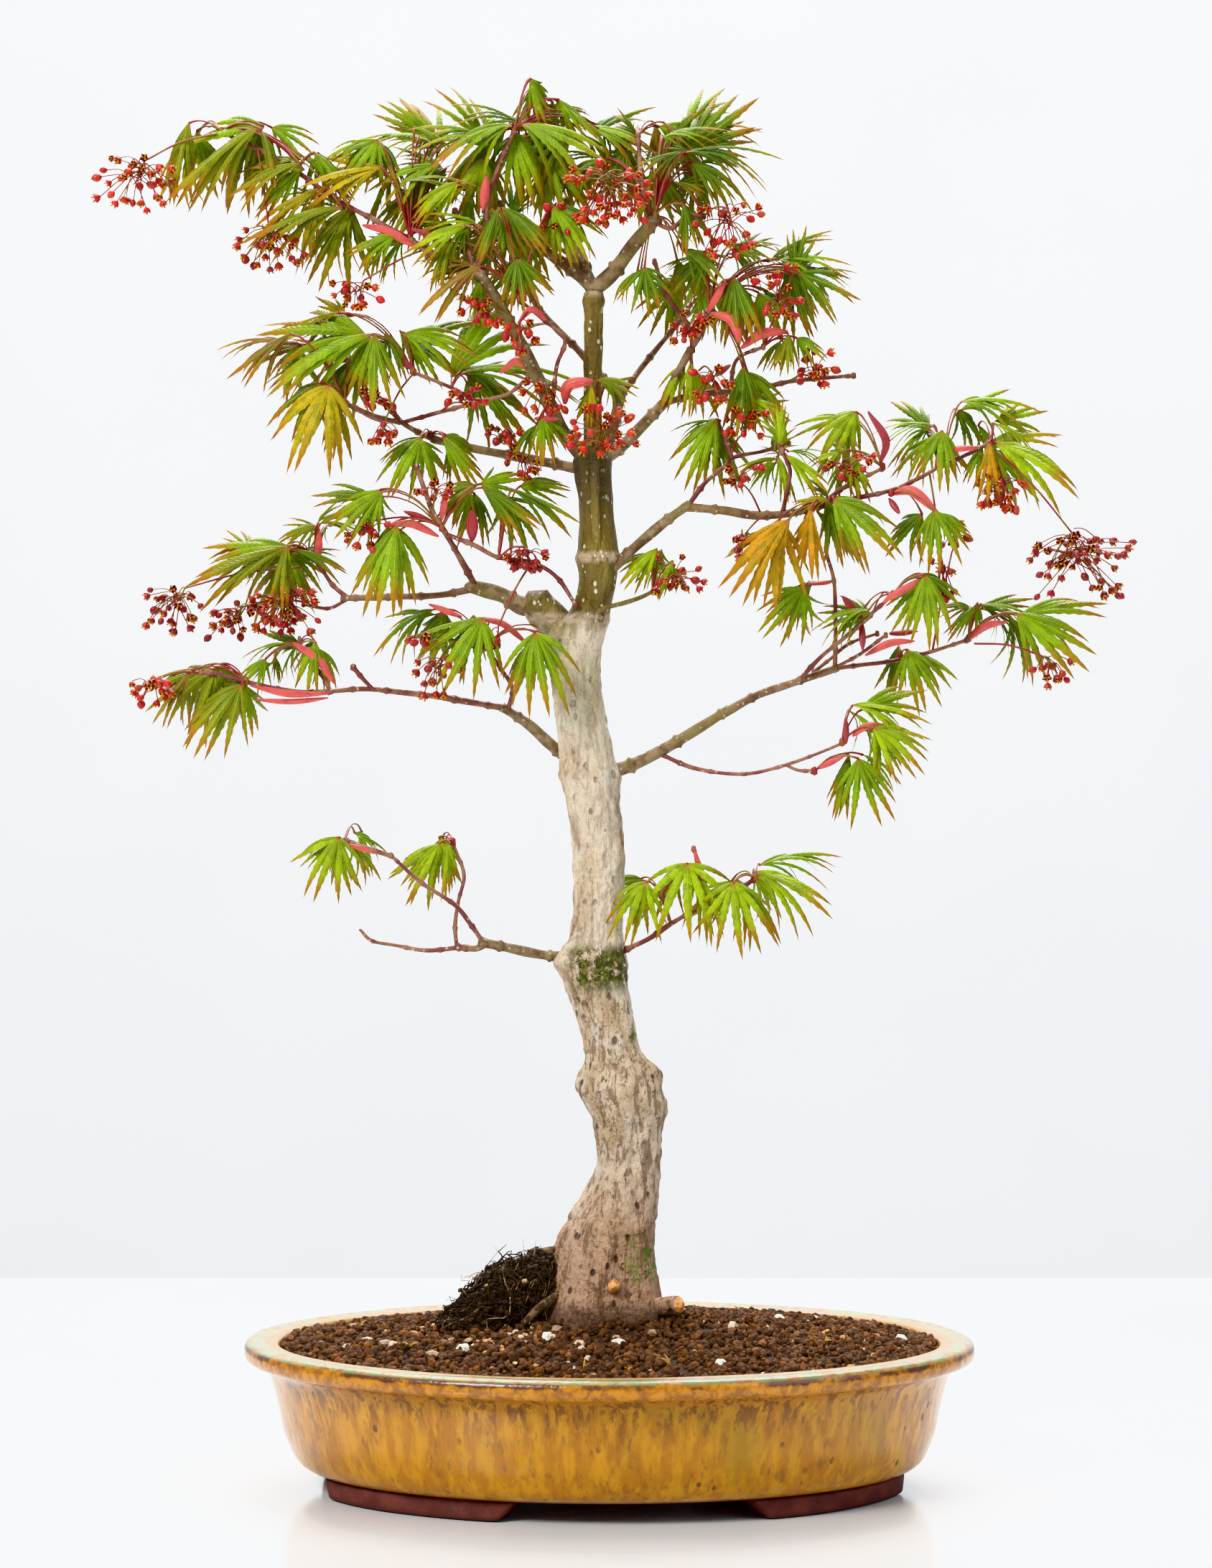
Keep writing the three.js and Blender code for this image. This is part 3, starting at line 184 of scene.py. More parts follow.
# Each spray: where its shoot ends, and its leaves, each with the blade's base and tip, the degrees
# that its lobes fan out to each side, and how many degrees its face is tipped up.
SPRAYS = {
    "leaves_low_left": ([-128.5, -35.5, 317.5], [
        [-131, -36, 320, -142, -42, 291, 62, 15], [-127, -31, 319, -112, -24, 299, 25, 50],
    ]),
    "leaves_low_left_inner": ([-77.5, 5, 317], [
        [-84, 2, 316.5, -98, 0, 287, 22, 5], [-80, 0, 317, -80, -4, 290, 14, 20],
    ]),
    "leaves_low_right_inner": ([25.5, -12.5, 291], [
        [18, -18, 298, 5, -30, 272, 45, 30], [38, -20, 307, 36, -32, 272, 75, 15],
    ]),
    "leaves_low_right": ([71, -22.5, 300], [
        [60, -30, 298, 61, -40, 264, 58, 15], [71, -20, 303, 108, -24, 286, 26, 35],
    ]),
    "leaves_mid_left_tip": ([-178, -13, 396], [
        [-180, -18, 394, -203, -26, 363, 36, 10], [-193, -10, 403, -204, -6, 364, 15, 20],
        [-205, -12, 401, -221, -16, 376, 14, 30],
    ]),
    "leaves_mid_left_upper": ([-153, -8, 413.5], [
        [-156, -6, 415, -182, 0, 408, 14, 60], [-144, -10, 415, -149, -14, 390, 32, 20],
        [-169, -8, 407, -179, -16, 393, 45, 30],
    ]),
    "leaves_mid_left_inner": ([-61, -22.5, 413], [
        [-62, -28, 426, -78, -38, 391, 52, 10], [-86, -18, 431, -116, -14, 413, 22, 40],
        [-36, -34, 419, -31, -46, 381, 52, 5],
    ]),
    "leaves_mid_right_low": ([113, -24.5, 366], [
        [118, -28, 384, 154, -30, 375, 24, 50], [128, -32, 373, 152, -42, 355, 44, 20],
    ]),
    "leaves_mid_right_under": ([100, -18.5, 352], [
        [121, -26, 358, 128, -34, 327, 48, 5],
    ]),
    "leaves_mid_right_upper": ([138, -23, 438], [
        [153, -28, 447, 156, -38, 414, 32, 5], [127, -14, 431, 99, -8, 423, 30, 60],
    ]),
    "leaves_mid_right_spine": ([144, 9, 410], [
        [147, 5, 412, 157, -4, 384, 40, 10],
    ]),
    "leaves_mid_right_tip": ([178, 10, 418], [
        [184, 8, 435, 219, 10, 426, 12, 60], [181, 6, 434, 167, 2, 418, 14, 20],
        [201, 2, 430, 233, -6, 403, 36, 15],
    ]),
    "leaves_right_front": ([107, -8, 481], [
        [109, -27, 484, 137, -38, 457, 40, 15], [97, -33, 479, 98, -42, 447, 14, 5],
        [87, -30, 474, 59, -42, 440, 26, 15],
    ]),
    "leaves_right_middle": ([138, -11, 488.5], [
        [158, -21, 479, 163, -30, 451, 50, 10],
    ]),
    "leaves_right_rise": ([164, -5, 503.5], [
        [163, -10, 519, 159, -18, 491, 45, 5], [160, 0, 523, 129, 4, 518, 10, 75],
        [174, 6, 535, 212, 8, 531, 30, 50],
    ]),
    "leaves_right_tip": ([188, -4, 514], [
        [190, -6, 513, 230, -12, 493, 26, 25], [186, -12, 513, 185, -20, 485, 18, 5],
        [189, 2, 524, 212, 4, 511, 16, 50],
    ]),
    "leaves_right_second": ([134.5, -2, 502], [
        [122, 6, 530, 102, 0, 508, 50, 25], [113, -4, 509, 99, -8, 502, 40, 40],
        [119, -6, 507, 124, -12, 485, 22, 5],
    ]),
    "leaves_upper_right": ([49, -0.5, 580], [
        [61, -4, 595, 68, -12, 564, 30, 10], [92, 10, 601, 99, 8, 621, 60, 10],
        [93, 8, 599, 121, 2, 584, 40, 15], [66, 6, 552, 66, -4, 519, 25, 10],
    ]),
    "leaves_crown_right": ([22, -14, 624], [
        [37, -8, 656, 83, -10, 651, 14, 55], [35, -12, 655, 14, -16, 647, 18, 40],
        [36, -16, 629, 40, -20, 605, 20, 10], [17, -18, 598, 19, -24, 575, 60, 10],
        [36, -12, 607, 58, -14, 594, 30, 35],
    ]),
    "leaves_crown_top": ([-46.5, -10, 667.5], [
        [-48, -12, 669, -88, -18, 652, 22, 40], [-43, -12, 669, -4, -20, 652, 28, 35],
        [-39, -8, 692, -33, -12, 669, 16, 10], [-25, -2, 683, -8, -8, 662, 18, 10],
    ]),
    "leaves_crown_inner": ([-44, -20, 582.5], [
        [-54, -26, 626, -62, -32, 600, 12, 5], [-52, -26, 626, -29, -34, 606, 18, 20],
        [-45, -24, 601, -40, -32, 576, 50, 5], [-63, -28, 597, -92, -36, 576, 18, 20],
    ]),
    "leaves_crown_left": ([-98, -9.5, 613.5], [
        [-105, -14, 614, -127, -18, 603, 32, 20], [-114, -8, 662, -128, -14, 638, 55, 10],
        [-101, -10, 641, -66, -12, 642, 10, 60], [-96, -4, 669, -78, -4, 660, 12, 40],
    ]),
    "leaves_far_left": ([-191, -4, 667], [
        [-173, -8, 668, -213, -16, 633, 15, 20], [-171, -8, 667, -161, -14, 640, 10, 20],
        [-207, -4, 671, -215, -8, 633, 18, 10], [-152, -12, 650, -186, -14, 634, 16, 30],
        [-131, -14, 628, -178, -20, 611, 14, 30],
    ]),
    "leaves_upper_left": ([-97, -4.5, 549], [
        [-116, -14, 566, -166, -20, 542, 12, 25], [-115, -16, 565, -113, -26, 530, 28, 5],
        [-101, -6, 567, -66, -10, 562, 30, 30],
    ]),
    "leaves_upper_left_tip": ([-130, -11, 533], [
        [-137, -20, 540, -150, -32, 500, 52, 8], [-157, -6, 567, -184, -10, 544, 14, 20],
        [-129, 4, 557, -171, 8, 550, 10, 60],
    ]),
    "leaves_left_under": ([-89, 17, 519.5], [
        [-93, -4, 516, -104, -16, 488, 45, 8], [-82, 4, 517, -66, -6, 494, 20, 10],
    ]),
    "leaves_left_shoot": ([-81.5, -29, 470], [
        [-110, -36, 487, -132, -44, 466, 35, 10], [-103, -38, 470, -112, -50, 430, 30, 5],
        [-66, -22, 490, -84, -28, 475, 22, 15], [-62, -24, 490, -38, -34, 470, 18, 15],
    ]),
    "leaves_left_long": ([-147, 15, 458], [
        [-146, 14, 474, -165, 12, 466, 35, 30], [-144, 14, 475, -122, 16, 483, 25, 40],
        [-160, 6, 463, -205, 0, 443, 18, 20], [-159, 2, 463, -163, -8, 433, 18, 5],
    ]),
    "leaves_back": ([-50.5, 82.5, 617.5], [
        [-60, 86, 628, -80, 92, 604, 45, 150], [-44, 88, 634, -22, 96, 612, 45, 150],
        [-54, 78, 640, -62, 66, 664, 40, 60],
    ]),
}



# Leaves too small or too close for solids of their own, by the spray they join: the leaf, its colour,
# and where its petiole springs from if that isn't the spray's own shoot.
SMALL_LEAVES = {
    "leaves_right_second": [
        ([83, 10, 507, 64, 10, 503, 20, 30], "olive", (88, 15, 514)),
        ([86, -22, 506, 106, -28, 489, 20, 20], "lime", (84, -20, 508)),
        ([83, -20, 511, 84, -22, 532, 12, 20], "lime", (84, -20, 508)),
    ],
    "leaves_right_front": [
        ([107, -22, 484, 89, -20, 484, 25, 40], "gold", (107, -6, 484)),
        ([53, 14, 527, 36, 6, 496, 35, 5], "leaf", (54, 18, 526)),
    ],
    "leaves_upper_right": [
        ([40, 4, 554, 41, -2, 528, 18, 15], "lime", (40, 1, 562)),
        ([67, 8, 537, 89, 8, 526, 25, 20], "lime", (66, 19, 541)),
        ([88, 0, 568, 88, -8, 549, 20, 20], "olive", (76, 6, 562)),
        ([74, 14, 590, 84, 8, 566, 36, 15], "leaf"), ([84, 12, 606, 118, 8, 604, 24, 50], "leaf"),
        ([48, 6, 606, 30, 0, 586, 34, 20], "deep"), ([58, 10, 612, 84, 4, 612, 20, 50], "leaf"),
    ],
    "leaves_crown_inner": [
        ([-6, -18, 543, 14, -20, 540, 30, 30], "olive", (-8, -2, 514)),
        ([-9, -20, 540, -8, -26, 520, 15, 10], "gold", (-8, -2, 514)),
        ([-70, -22, 618, -98, -28, 604, 22, 25], "lime"), ([-28, -16, 628, -8, -22, 604, 34, 15], "leaf"),
        ([-78, -16, 612, -84, -20, 586, 36, 10], "olive"),
    ],
    "leaves_left_under": [
        ([-33, -22, 524, -30, -30, 502, 25, 10], "leaf", (-28, -8, 533)),
    ],
    "leaves_upper_left": [
        ([-74, 6, 549, -14, 8, 551, 10, 50], "leaf", (-78, -1, 541)),
        ([-70, 6, 549, -48, 6, 540, 20, 40], "deep", (-78, -1, 541)),
    ],
    "leaves_left_shoot": [
        ([23, -12, 461, 8, -18, 442, 25, 10], "lime", (21, -12, 440)),
        ([31, -12, 455, 24, -16, 437, 15, 10], "lime", (21, -12, 440)),
        ([-48, -18, 490, -18, -22, 472, 8, 30], "deep", (-54, -22, 456)),
    ],
    "leaves_left_long": [
        ([-134, 0, 578, -156, 2, 570, 15, 40], "gold", (-97, -4, 549)),
        ([-172, 14, 459, -198, 16, 459, 20, 40], "olive"), ([-157, 8, 462, -131, 8, 452, 15, 30], "deep"),
    ],
    "leaves_far_left": [
        ([-143, -8, 638, -173, -12, 618, 14, 20], "gold", (-134, -5, 633)),
        ([-145, -8, 656, -127, -12, 632, 16, 20], "leaf", (-154, -4, 647)),
    ],
    "leaves_crown_right": [
        ([27, 6, 673, 48, 4, 649, 12, 30], "dry", (14, 2, 666)),
        ([32, -10, 641, 47, -14, 636, 12, 30], "olive", (46, -12, 624)),
        ([13, 10, 668, 3, 10, 680, 20, 30], "deep", (14, 2, 666)),
        ([26, -4, 664, 56, -8, 668, 18, 55], "leaf"), ([40, -2, 652, 62, -6, 636, 34, 25], "deep"),
        ([22, 4, 650, 30, 0, 622, 40, 15], "leaf"), ([34, 8, 668, 74, 4, 672, 16, 55], "olive"),
        ([-4, 14, 656, -26, 10, 640, 30, 30], "leaf"),
    ],
    "leaves_crown_top": [
        ([-58, -6, 662, -96, -12, 668, 20, 55], "leaf"), ([-20, 6, 668, -52, 2, 648, 34, 30], "deep"),
        ([-12, 12, 672, 24, 8, 660, 26, 45], "leaf"), ([-62, 4, 655, -72, -2, 626, 40, 15], "lime"),
        ([-30, 10, 656, -20, 4, 626, 44, 15], "leaf"), ([8, 16, 662, 2, 10, 634, 40, 15], "deep"),
    ],
    "leaves_crown_left": [
        ([-84, -4, 650, -118, -8, 640, 30, 40], "leaf"), ([-92, 4, 640, -104, 0, 612, 40, 15], "olive"),
        ([-112, -12, 648, -148, -16, 636, 24, 30], "gold"),
        ([-74, -14, 640, -96, -20, 622, 30, 20], "lime"), ([-88, 10, 664, -126, 6, 668, 18, 60], "leaf"),
    ],
    "leaves_mid_right_upper": [
        ([96, 8, 443, 79, 4, 418, 55, 5], "leaf", (98, 10, 445)),
    ],
    "leaves_back": [
        ([52, 80, 600, 72, 90, 578, 45, 150], "leaf", (40, 76, 588)),
        ([36, 84, 604, 20, 96, 582, 45, 150], "leaf", (40, 76, 588)),
    ],
}



# The colour that most leaves of a spray have, where it isn't plain leaf green.
SPRAY_TONES = {
    "leaves_low_left": "lime", "leaves_low_left_inner": "lime", "leaves_low_right_inner": "lime",
    "leaves_low_right": "lime", "leaves_mid_right_low": "lime", "leaves_right_tip": "lime",
    "leaves_right_second": "lime", "leaves_crown_right": "deep", "leaves_upper_right": "deep",
    "leaves_far_left": "olive", "leaves_left_long": "olive", "leaves_mid_left_tip": "olive",
    "leaves_back": "deep", "leaves_crown_inner": "deep",
}

# Single leaves of another colour: the spray, the leaf's place in it, its colour.
ODD_LEAVES = {
    ("leaves_upper_left_tip", 0): "gold", ("leaves_upper_left_tip", 1): "dry",
    ("leaves_right_tip", 1): "amber", ("leaves_right_front", 1): "amber",
    ("leaves_right_front", 2): "amber", ("leaves_mid_left_tip", 2): "dry",
    ("leaves_mid_left_inner", 1): "deep", ("leaves_crown_inner", 3): "dry",
    ("leaves_left_shoot", 2): "olive", ("leaves_left_shoot", 3): "deep", ("leaves_crown_left", 2): "olive",
    ("leaves_left_long", 2): "olive",
}

# Leaf greens. lime and deep are a lighter and a darker step of the plain leaf green: partly the leaves' own
# colour, partly painted highlight (lime) and painted shade (deep).
TONES = {
    "leaf": (0.15, 0.255, 0.006), "lime": (0.25, 0.35, 0.008), "gold": (0.36, 0.25, 0.01),
    "amber": (0.46, 0.19, 0.01), "olive": (0.15, 0.17, 0.008), "deep": (0.06, 0.125, 0.006),
    "dry": (0.2, 0.085, 0.026),
}

# Bud scales: the points of each from its shoot to its tip, its width, and its colour.
BUD_SCALES = [
    ([(-109, -33, 312), (-128, -38, 317)], 3.6, "salmon"),
    ([(-138, -10, 390), (-157, -14, 390), (-176, -16, 394)], 4.2, "salmon"),
    ([(-138, -9, 388), (-156, -12, 386), (-175, -14, 387)], 3.2, "salmon"),
    ([(-135, -8, 395), (-143, -12, 407), (-155, -14, 415)], 5, "salmon"),
    ([(-41, -14, 415), (-52, -20, 424), (-63, -24, 426)], 4.4, "salmon"),
    ([(-72, -24, 427), (-88, -28, 433)], 3.6, "salmon"), ([(46, -18, 296), (41, -20, 315)], 3.4, "salmon"),
    ([(118, -26, 369), (125, -29, 374), (137, -31, 373)], 5, "salmon"),
    ([(115, -25, 365), (115, -28, 377)], 3.6, "maroon"), ([(101, -19, 353), (115, -24, 360)], 4, "salmon"),
    ([(133, -22, 434), (137, -25, 437), (151, -28, 445)], 4.4, "salmon"),
    ([(124, -8, 427), (114, -10, 438)], 5, "maroon"), ([(124, -7, 425), (124, -11, 411)], 4, "maroon"),
    ([(126, 0, 409), (138, -5, 415), (150, -6, 416)], 4.4, "salmon"),
    ([(138, 2, 420), (152, -2, 421)], 4, "maroon"), ([(111, 6, 446), (98, 6, 444.5)], 3.2, "salmon"),
    ([(176, 10, 416), (186, 7, 424), (197, 6, 426)], 4.8, "salmon"),
    ([(138, -10, 488), (148, -15, 489), (160, -18, 478)], 6, "salmon"),
    ([(137, -10, 486), (142, -14, 478)], 4, "maroon"),
    ([(160, -6, 501), (164, -9, 509), (181, -10, 511)], 4.4, "salmon"),
    ([(133, -2, 503), (136, -4, 515), (127, -6, 529)], 4.8, "maroon"),
    ([(27, 10, 536), (38, 6, 557)], 4, "maroon"),
    ([(48, -2, 578), (54, -5, 588), (57, -6, 594)], 4.6, "salmon"),
    ([(50, -2, 578), (60, -6, 574), (64, -8, 562)], 6, "salmon"),
    ([(65, 4, 561), (75, 1, 568), (88, 0, 569)], 6, "salmon"), ([(52, 8, 548), (60, 4, 553)], 4, "maroon"),
    ([(-62, -16, 626), (-60, -18, 643)], 5, "salmon"), ([(-80, -17, 611), (-97, -18, 617)], 4, "maroon"),
    ([(-94, -12, 608), (-108, -15, 616), (-121, -16, 619)], 5, "salmon"),
    ([(-103, 4, 630), (-106, 0, 645)], 4, "salmon"),
    ([(-41, -20, 581), (-44, -24, 590), (-48, -24, 599)], 5, "maroon"),
    ([(-30, -18, 571), (-38, -22, 577), (-45, -23, 570)], 4, "salmon"),
    ([(-95, -5, 549), (-106, -8, 556)], 4.2, "maroon"), ([(-110, 6, 524), (-129, -2, 533)], 4, "salmon"),
    ([(-83, -27, 466), (-96, -31, 472), (-108, -34, 471)], 5, "salmon"),
    ([(-86, -28, 473), (-100, -30, 478)], 4, "maroon"), ([(-82, -28, 473), (-79, -31, 490)], 4, "salmon"),
    ([(-145, 14, 456), (-144, 11, 471)], 4.5, "salmon"),
    ([(-22, -10, 532), (-20, -14, 541), (-8, -16, 543)], 7, "salmon"),
    ([(-37, -10, 525), (-25, -14, 524)], 4, "salmon"),
    ([(-54, -3, 548), (-45, -7, 554), (-37, -8, 546)], 5, "salmon"),
    ([(-67, -23, 464), (-67, -26, 479)], 7, "maroon"),
]

# Flower clusters: where the stalk leaves its shoot, the cluster's middle, its width and height,
# how many flowers it has, and how dark they are from 0 to 1, by the node they belong to.
# The darkness is partly the flowers' own deeper red, partly painted shade on clusters that hang behind and
# under the leaves.
FLOWER_CLUSTERS = {
    "flowers_far_left": [
        ((-193, -8, 665), (-232, -10, 641), 38, 26, 20, 0.25),
        ((-173, -6, 658), (-167, -10, 610), 34, 22, 15, 0.6),
    ],
    "flowers_crown": [
        ((18, -20, 630), (0, -28, 633), 38, 30, 34, 0.15), ((-20, 2, 600), (-24, -14, 621), 16, 14, 8, 0.3),
        ((46, -12, 624), (58, -16, 617), 30, 30, 17, 0.3), ((76, 6, 562), (84, -4, 588), 20, 26, 13, 0.3),
        ((90, 22, 547), (102, 10, 553), 16, 18, 10, 0.35), ((44, 4, 550), (50, -6, 543), 16, 16, 9, 0.3),
        ((60, 12, 508), (66, 2, 525), 20, 18, 10, 0.2), ((40, 1, 560), (40, -8, 570), 18, 16, 9, 0.3),
    ],
    "flowers_left_leader": [
        ((-78, -8, 612), (-125, -16, 585), 22, 14, 9, 0.1),
        ((-50, -16, 575), (-63, -26, 576), 18, 16, 10, 0.3),
        ((-36, -19, 577), (-44, -26, 564), 14, 16, 9, 0.2),
    ],
    "flowers_left_long": [
        ((-152, 10, 437.5), (-161, 4, 432), 32, 22, 24, 0.5),
        ((-84, -28, 472), (-118, -36, 467), 18, 18, 9, 0.5),
        ((-86, -28, 478), (-84, -34, 489), 22, 10, 5, 0.5),
        ((-54, -22, 456), (-41, -26, 456), 20, 14, 11, 0.85),
        ((-60, -22, 412), (-84, -30, 399), 22, 20, 11, 0.75),
        ((-62, -22, 412), (-93, -28, 418), 10, 8, 4, 0.4),
        ((-38, -18, 454), (-56, -26, 416), 10, 8, 3, 0.6),
    ],
    "flowers_left_tip": [
        ((-200, -12, 400), (-224, -16, 391), 20, 14, 12, 0.2),
        ((-152, 8, 453), (-216, 0, 433), 28, 24, 16, 0.85),
        ((-150, 12, 436), (-186, 4, 426), 24, 20, 14, 0.8),
    ],
    "flowers_right_far": [
        ((190, -10, 509), (230, -14, 453), 48, 34, 36, 0.8),
        ((186, -4, 513), (192, -12, 490), 20, 20, 15, 0.15),
        ((157, -6, 500), (163, -12, 446), 12, 20, 8, 0.7), ((160, 10, 411), (170, 4, 469), 12, 12, 5, 0.6),
        ((122, -6, 486), (118, -12, 502), 24, 12, 7, 0.4), ((75, -7, 477), (64, -16, 497), 18, 10, 6, 0.4),
        ((80, -7, 478), (66, -18, 463), 12, 14, 6, 0.5),
    ],
    "flowers_right_low": [
        ((180, 2, 415), (218, -4, 402), 18, 16, 8, 0.5), ((21, -12, 440), (33, -14, 449), 26, 18, 11, 0.6),
    ],
    "flowers_front": [
        ((-96, -6, 548), (-111, -16, 518), 14, 12, 6, 0.5),
        ((-84, 8, 530), (-70, -12, 537), 18, 14, 8, 0.3),
        ((-104, 10, 526), (-115, -6, 537), 14, 10, 6, 0.5),
        ((-50, 15, 509), (-43, -8, 503), 16, 14, 7, 0.6), ((-48, 15, 509), (-52, -6, 517), 14, 12, 7, 0.8),
        ((-40, -5, 546), (-33, -16, 536), 20, 16, 9, 0.3),
        ((-7.5, -14, 513.5), (-4, -24, 518), 30, 24, 22, 0.1),
    ],
}


# ---- Meshes worked out as whole arrays ----


def spot(points):
    """Points of the lists, in mm, moved to where the tree stands on its soil, in metres."""
    at = np.asarray(points, float) * MM
    return at + np.array([0.0, 0.0, SOIL_TOP - COLLAR * MM])


def unit(vectors):
    """Each vector divided by its own length."""
    return vectors / np.maximum(np.linalg.norm(vectors, axis=-1, keepdims=True), 1e-12)


def smooth(low, high, value):
    """0 below low and 1 above high, with an S-shaped rise 3t^2 - 2t^3 between them."""
    t = np.clip((value - low) / (high - low), 0, 1)
    return t * t * (3 - 2 * t)


def bump(value, middle, width):
    """A bell exp(-((value - middle) / width)^2)."""
    return np.exp(-(((value - middle) / width) ** 2))


def waves(points, scale, seed, count=10):
    """Soft noise: the mean of count sines of the points along random directions, about -1 to 1."""
    rng = np.random.default_rng(seed)
    heading = rng.normal(size=(3, count)) / scale
    phase = rng.uniform(0, 2 * math.pi, count)
    return np.sin(points @ heading + phase).sum(-1) / math.sqrt(count)


def along_curve(points, count):
    """count points evenly along a Catmull-Rom curve through the given ones.

    Between two points p1 and p2 the curve is the cubic (2 p1 + (p2 - p0) t
    + (2 p0 - 5 p1 + 4 p2 - p3) t^2 + (3 p1 - p0 - 3 p2 + p3) t^3) / 2.
    """
    knots = np.asarray(points, float)
    ends = np.vstack([2 * knots[0] - knots[1], knots, 2 * knots[-1] - knots[-2]])
    fine = np.linspace(0, len(knots) - 1 - 1e-9, 24 * (len(knots) - 1) + 1)
    low = fine.astype(int)
    t = (fine - low)[:, None]
    p0, p1, p2, p3 = (ends[low + k] for k in range(4))
    curve = (2 * p1 + (p2 - p0) * t + (2 * p0 - 5 * p1 + 4 * p2 - p3) * t**2
             + (3 * p1 - p0 - 3 * p2 + p3) * t**3) / 2
    reach = np.concatenate([[0], np.cumsum(np.linalg.norm(np.diff(curve, axis=0), axis=1))])
    wanted = np.linspace(0, reach[-1], count)
    return np.column_stack([np.interp(wanted, reach, curve[:, k]) for k in range(3)]), reach[-1]


def grid_faces(rows, columns, closed):
    """The quads of a grid of rows by columns; closed joins the last column to the first."""
    across = columns if closed else columns - 1
    row, column = np.meshgrid(np.arange(rows - 1), np.arange(across), indexing="ij")
    after = (column + 1) % columns
    quads = [row * columns + column, row * columns + after,
             (row + 1) * columns + after, (row + 1) * columns + column]
    return np.stack(quads, -1).reshape(-1, 4)


class Shape:
    """Vertices with faces, a colour and two surface coordinates for each vertex, and a finish number."""

    def __init__(self, vertices, faces, colour=(0.5, 0.5, 0.5), across=0.0, along=0.0, finish=0):
        self.vertices = np.asarray(vertices, float).reshape(-1, 3)
        count = len(self.vertices)
        self.faces = np.asarray(faces, int)
        self.colour = np.broadcast_to(np.asarray(colour, float), (count, 3)).copy()
        self.across = np.broadcast_to(np.asarray(across, float), (count,)).copy()
        self.along = np.broadcast_to(np.asarray(along, float), (count,)).copy()
        self.finish = finish


def tube(points, radii, sides=8, count=None, colour=(0.5, 0.5, 0.5), finish=0, rough=0.0, seed=0):
    """A closed tube: circles carried along a curve, each turned as little as possible from the last.

    A vertex is centre + radius * (cos a * normal + sin a * binormal), the radius drawn between the
    given ones and swollen by a little noise. The two ends close to a point.
    """
    if count is None:
        count = max(3, 6 * (len(points) - 1) + 1)
    centre, length = along_curve(points, count)
    share = np.linspace(0, 1, count)
    radius = np.interp(share, np.linspace(0, 1, len(radii)), radii)
    heading = unit(np.gradient(centre, axis=0))
    normal = np.zeros_like(centre)
    first = np.cross(heading[0], [0.3, 1.0, 0.2])
    normal[0] = unit(first)
    for row in range(1, count):
        kept = normal[row - 1] - heading[row] * (normal[row - 1] @ heading[row])
        normal[row] = unit(kept)
    binormal = np.cross(heading, normal)
    angle = np.arange(sides) * 2 * math.pi / sides
    ring = (np.cos(angle)[None, :, None] * normal[:, None, :]
            + np.sin(angle)[None, :, None] * binormal[:, None, :])
    if rough:
        seat = centre[:, None, :] + ring * radius[:, None, None]
        radius = radius[:, None] * (1 + rough * waves(seat, 0.0035, seed))
    else:
        radius = np.broadcast_to(radius[:, None], (count, sides))
    body = centre[:, None, :] + ring * radius[..., None]
    start = centre[0] - heading[0] * radii[0] * 0.5
    finish_point = centre[-1] + heading[-1] * radii[-1] * 0.7
    rows = np.concatenate([np.broadcast_to(start, (1, sides, 3)), body,
                           np.broadcast_to(finish_point, (1, sides, 3))])
    along = np.concatenate([[0], share * length, [length]])
    along = np.repeat(along[:, None], sides, 1)
    across = np.broadcast_to(angle / (2 * math.pi), (count + 2, sides))
    faces = grid_faces(count + 2, sides, True)
    return Shape(rows, faces, colour, across.ravel(), along.ravel(), finish)


def make_piece(name, shapes, materials, nodes=(), flat=False, weld=True):
    """Puts shapes into one mesh at the origin, which rides on the root body and stands for nodes."""
    offset = 0
    faces = []
    finishes = []
    for shape in shapes:
        faces.extend((shape.faces + offset).tolist())
        finishes.append(np.full(len(shape.faces), shape.finish))
        offset += len(shape.vertices)
    mesh = bpy.data.meshes.new(name)
    mesh.from_pydata(np.concatenate([s.vertices for s in shapes]).tolist(), [], faces)
    colour = np.concatenate([s.colour for s in shapes])
    tint = mesh.attributes.new("tone", "FLOAT_COLOR", "POINT")
    tint.data.foreach_set("color", np.column_stack([colour, np.ones(len(colour))]).ravel())
    for key in ("across", "along"):
        layer = mesh.attributes.new(key, "FLOAT", "POINT")
        layer.data.foreach_set("value", np.concatenate([getattr(s, key) for s in shapes]))
    for material in materials:
        mesh.materials.append(material)
    mesh.polygons.foreach_set("material_index", np.concatenate(finishes).astype(np.int32))
    mesh.polygons.foreach_set("use_smooth", np.full(len(faces), not flat))
    mesh.update()
    mesh.validate()
    piece = bpy.data.objects.new(name, mesh)
    bpy.context.scene.collection.objects.link(piece)
    if weld:
        weld_doubles(mesh)
    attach(piece, "root")
    if nodes:
        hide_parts(*nodes)
    return piece


def weld_doubles(mesh):
    """Merges vertices that lie on one another, such as those at a tube's closed ends."""
    work = bmesh.new()
    work.from_mesh(mesh)
    bmesh.ops.remove_doubles(work, verts=work.verts, dist=1e-7)
    work.to_mesh(mesh)
    work.free()


# ---- Wood ----


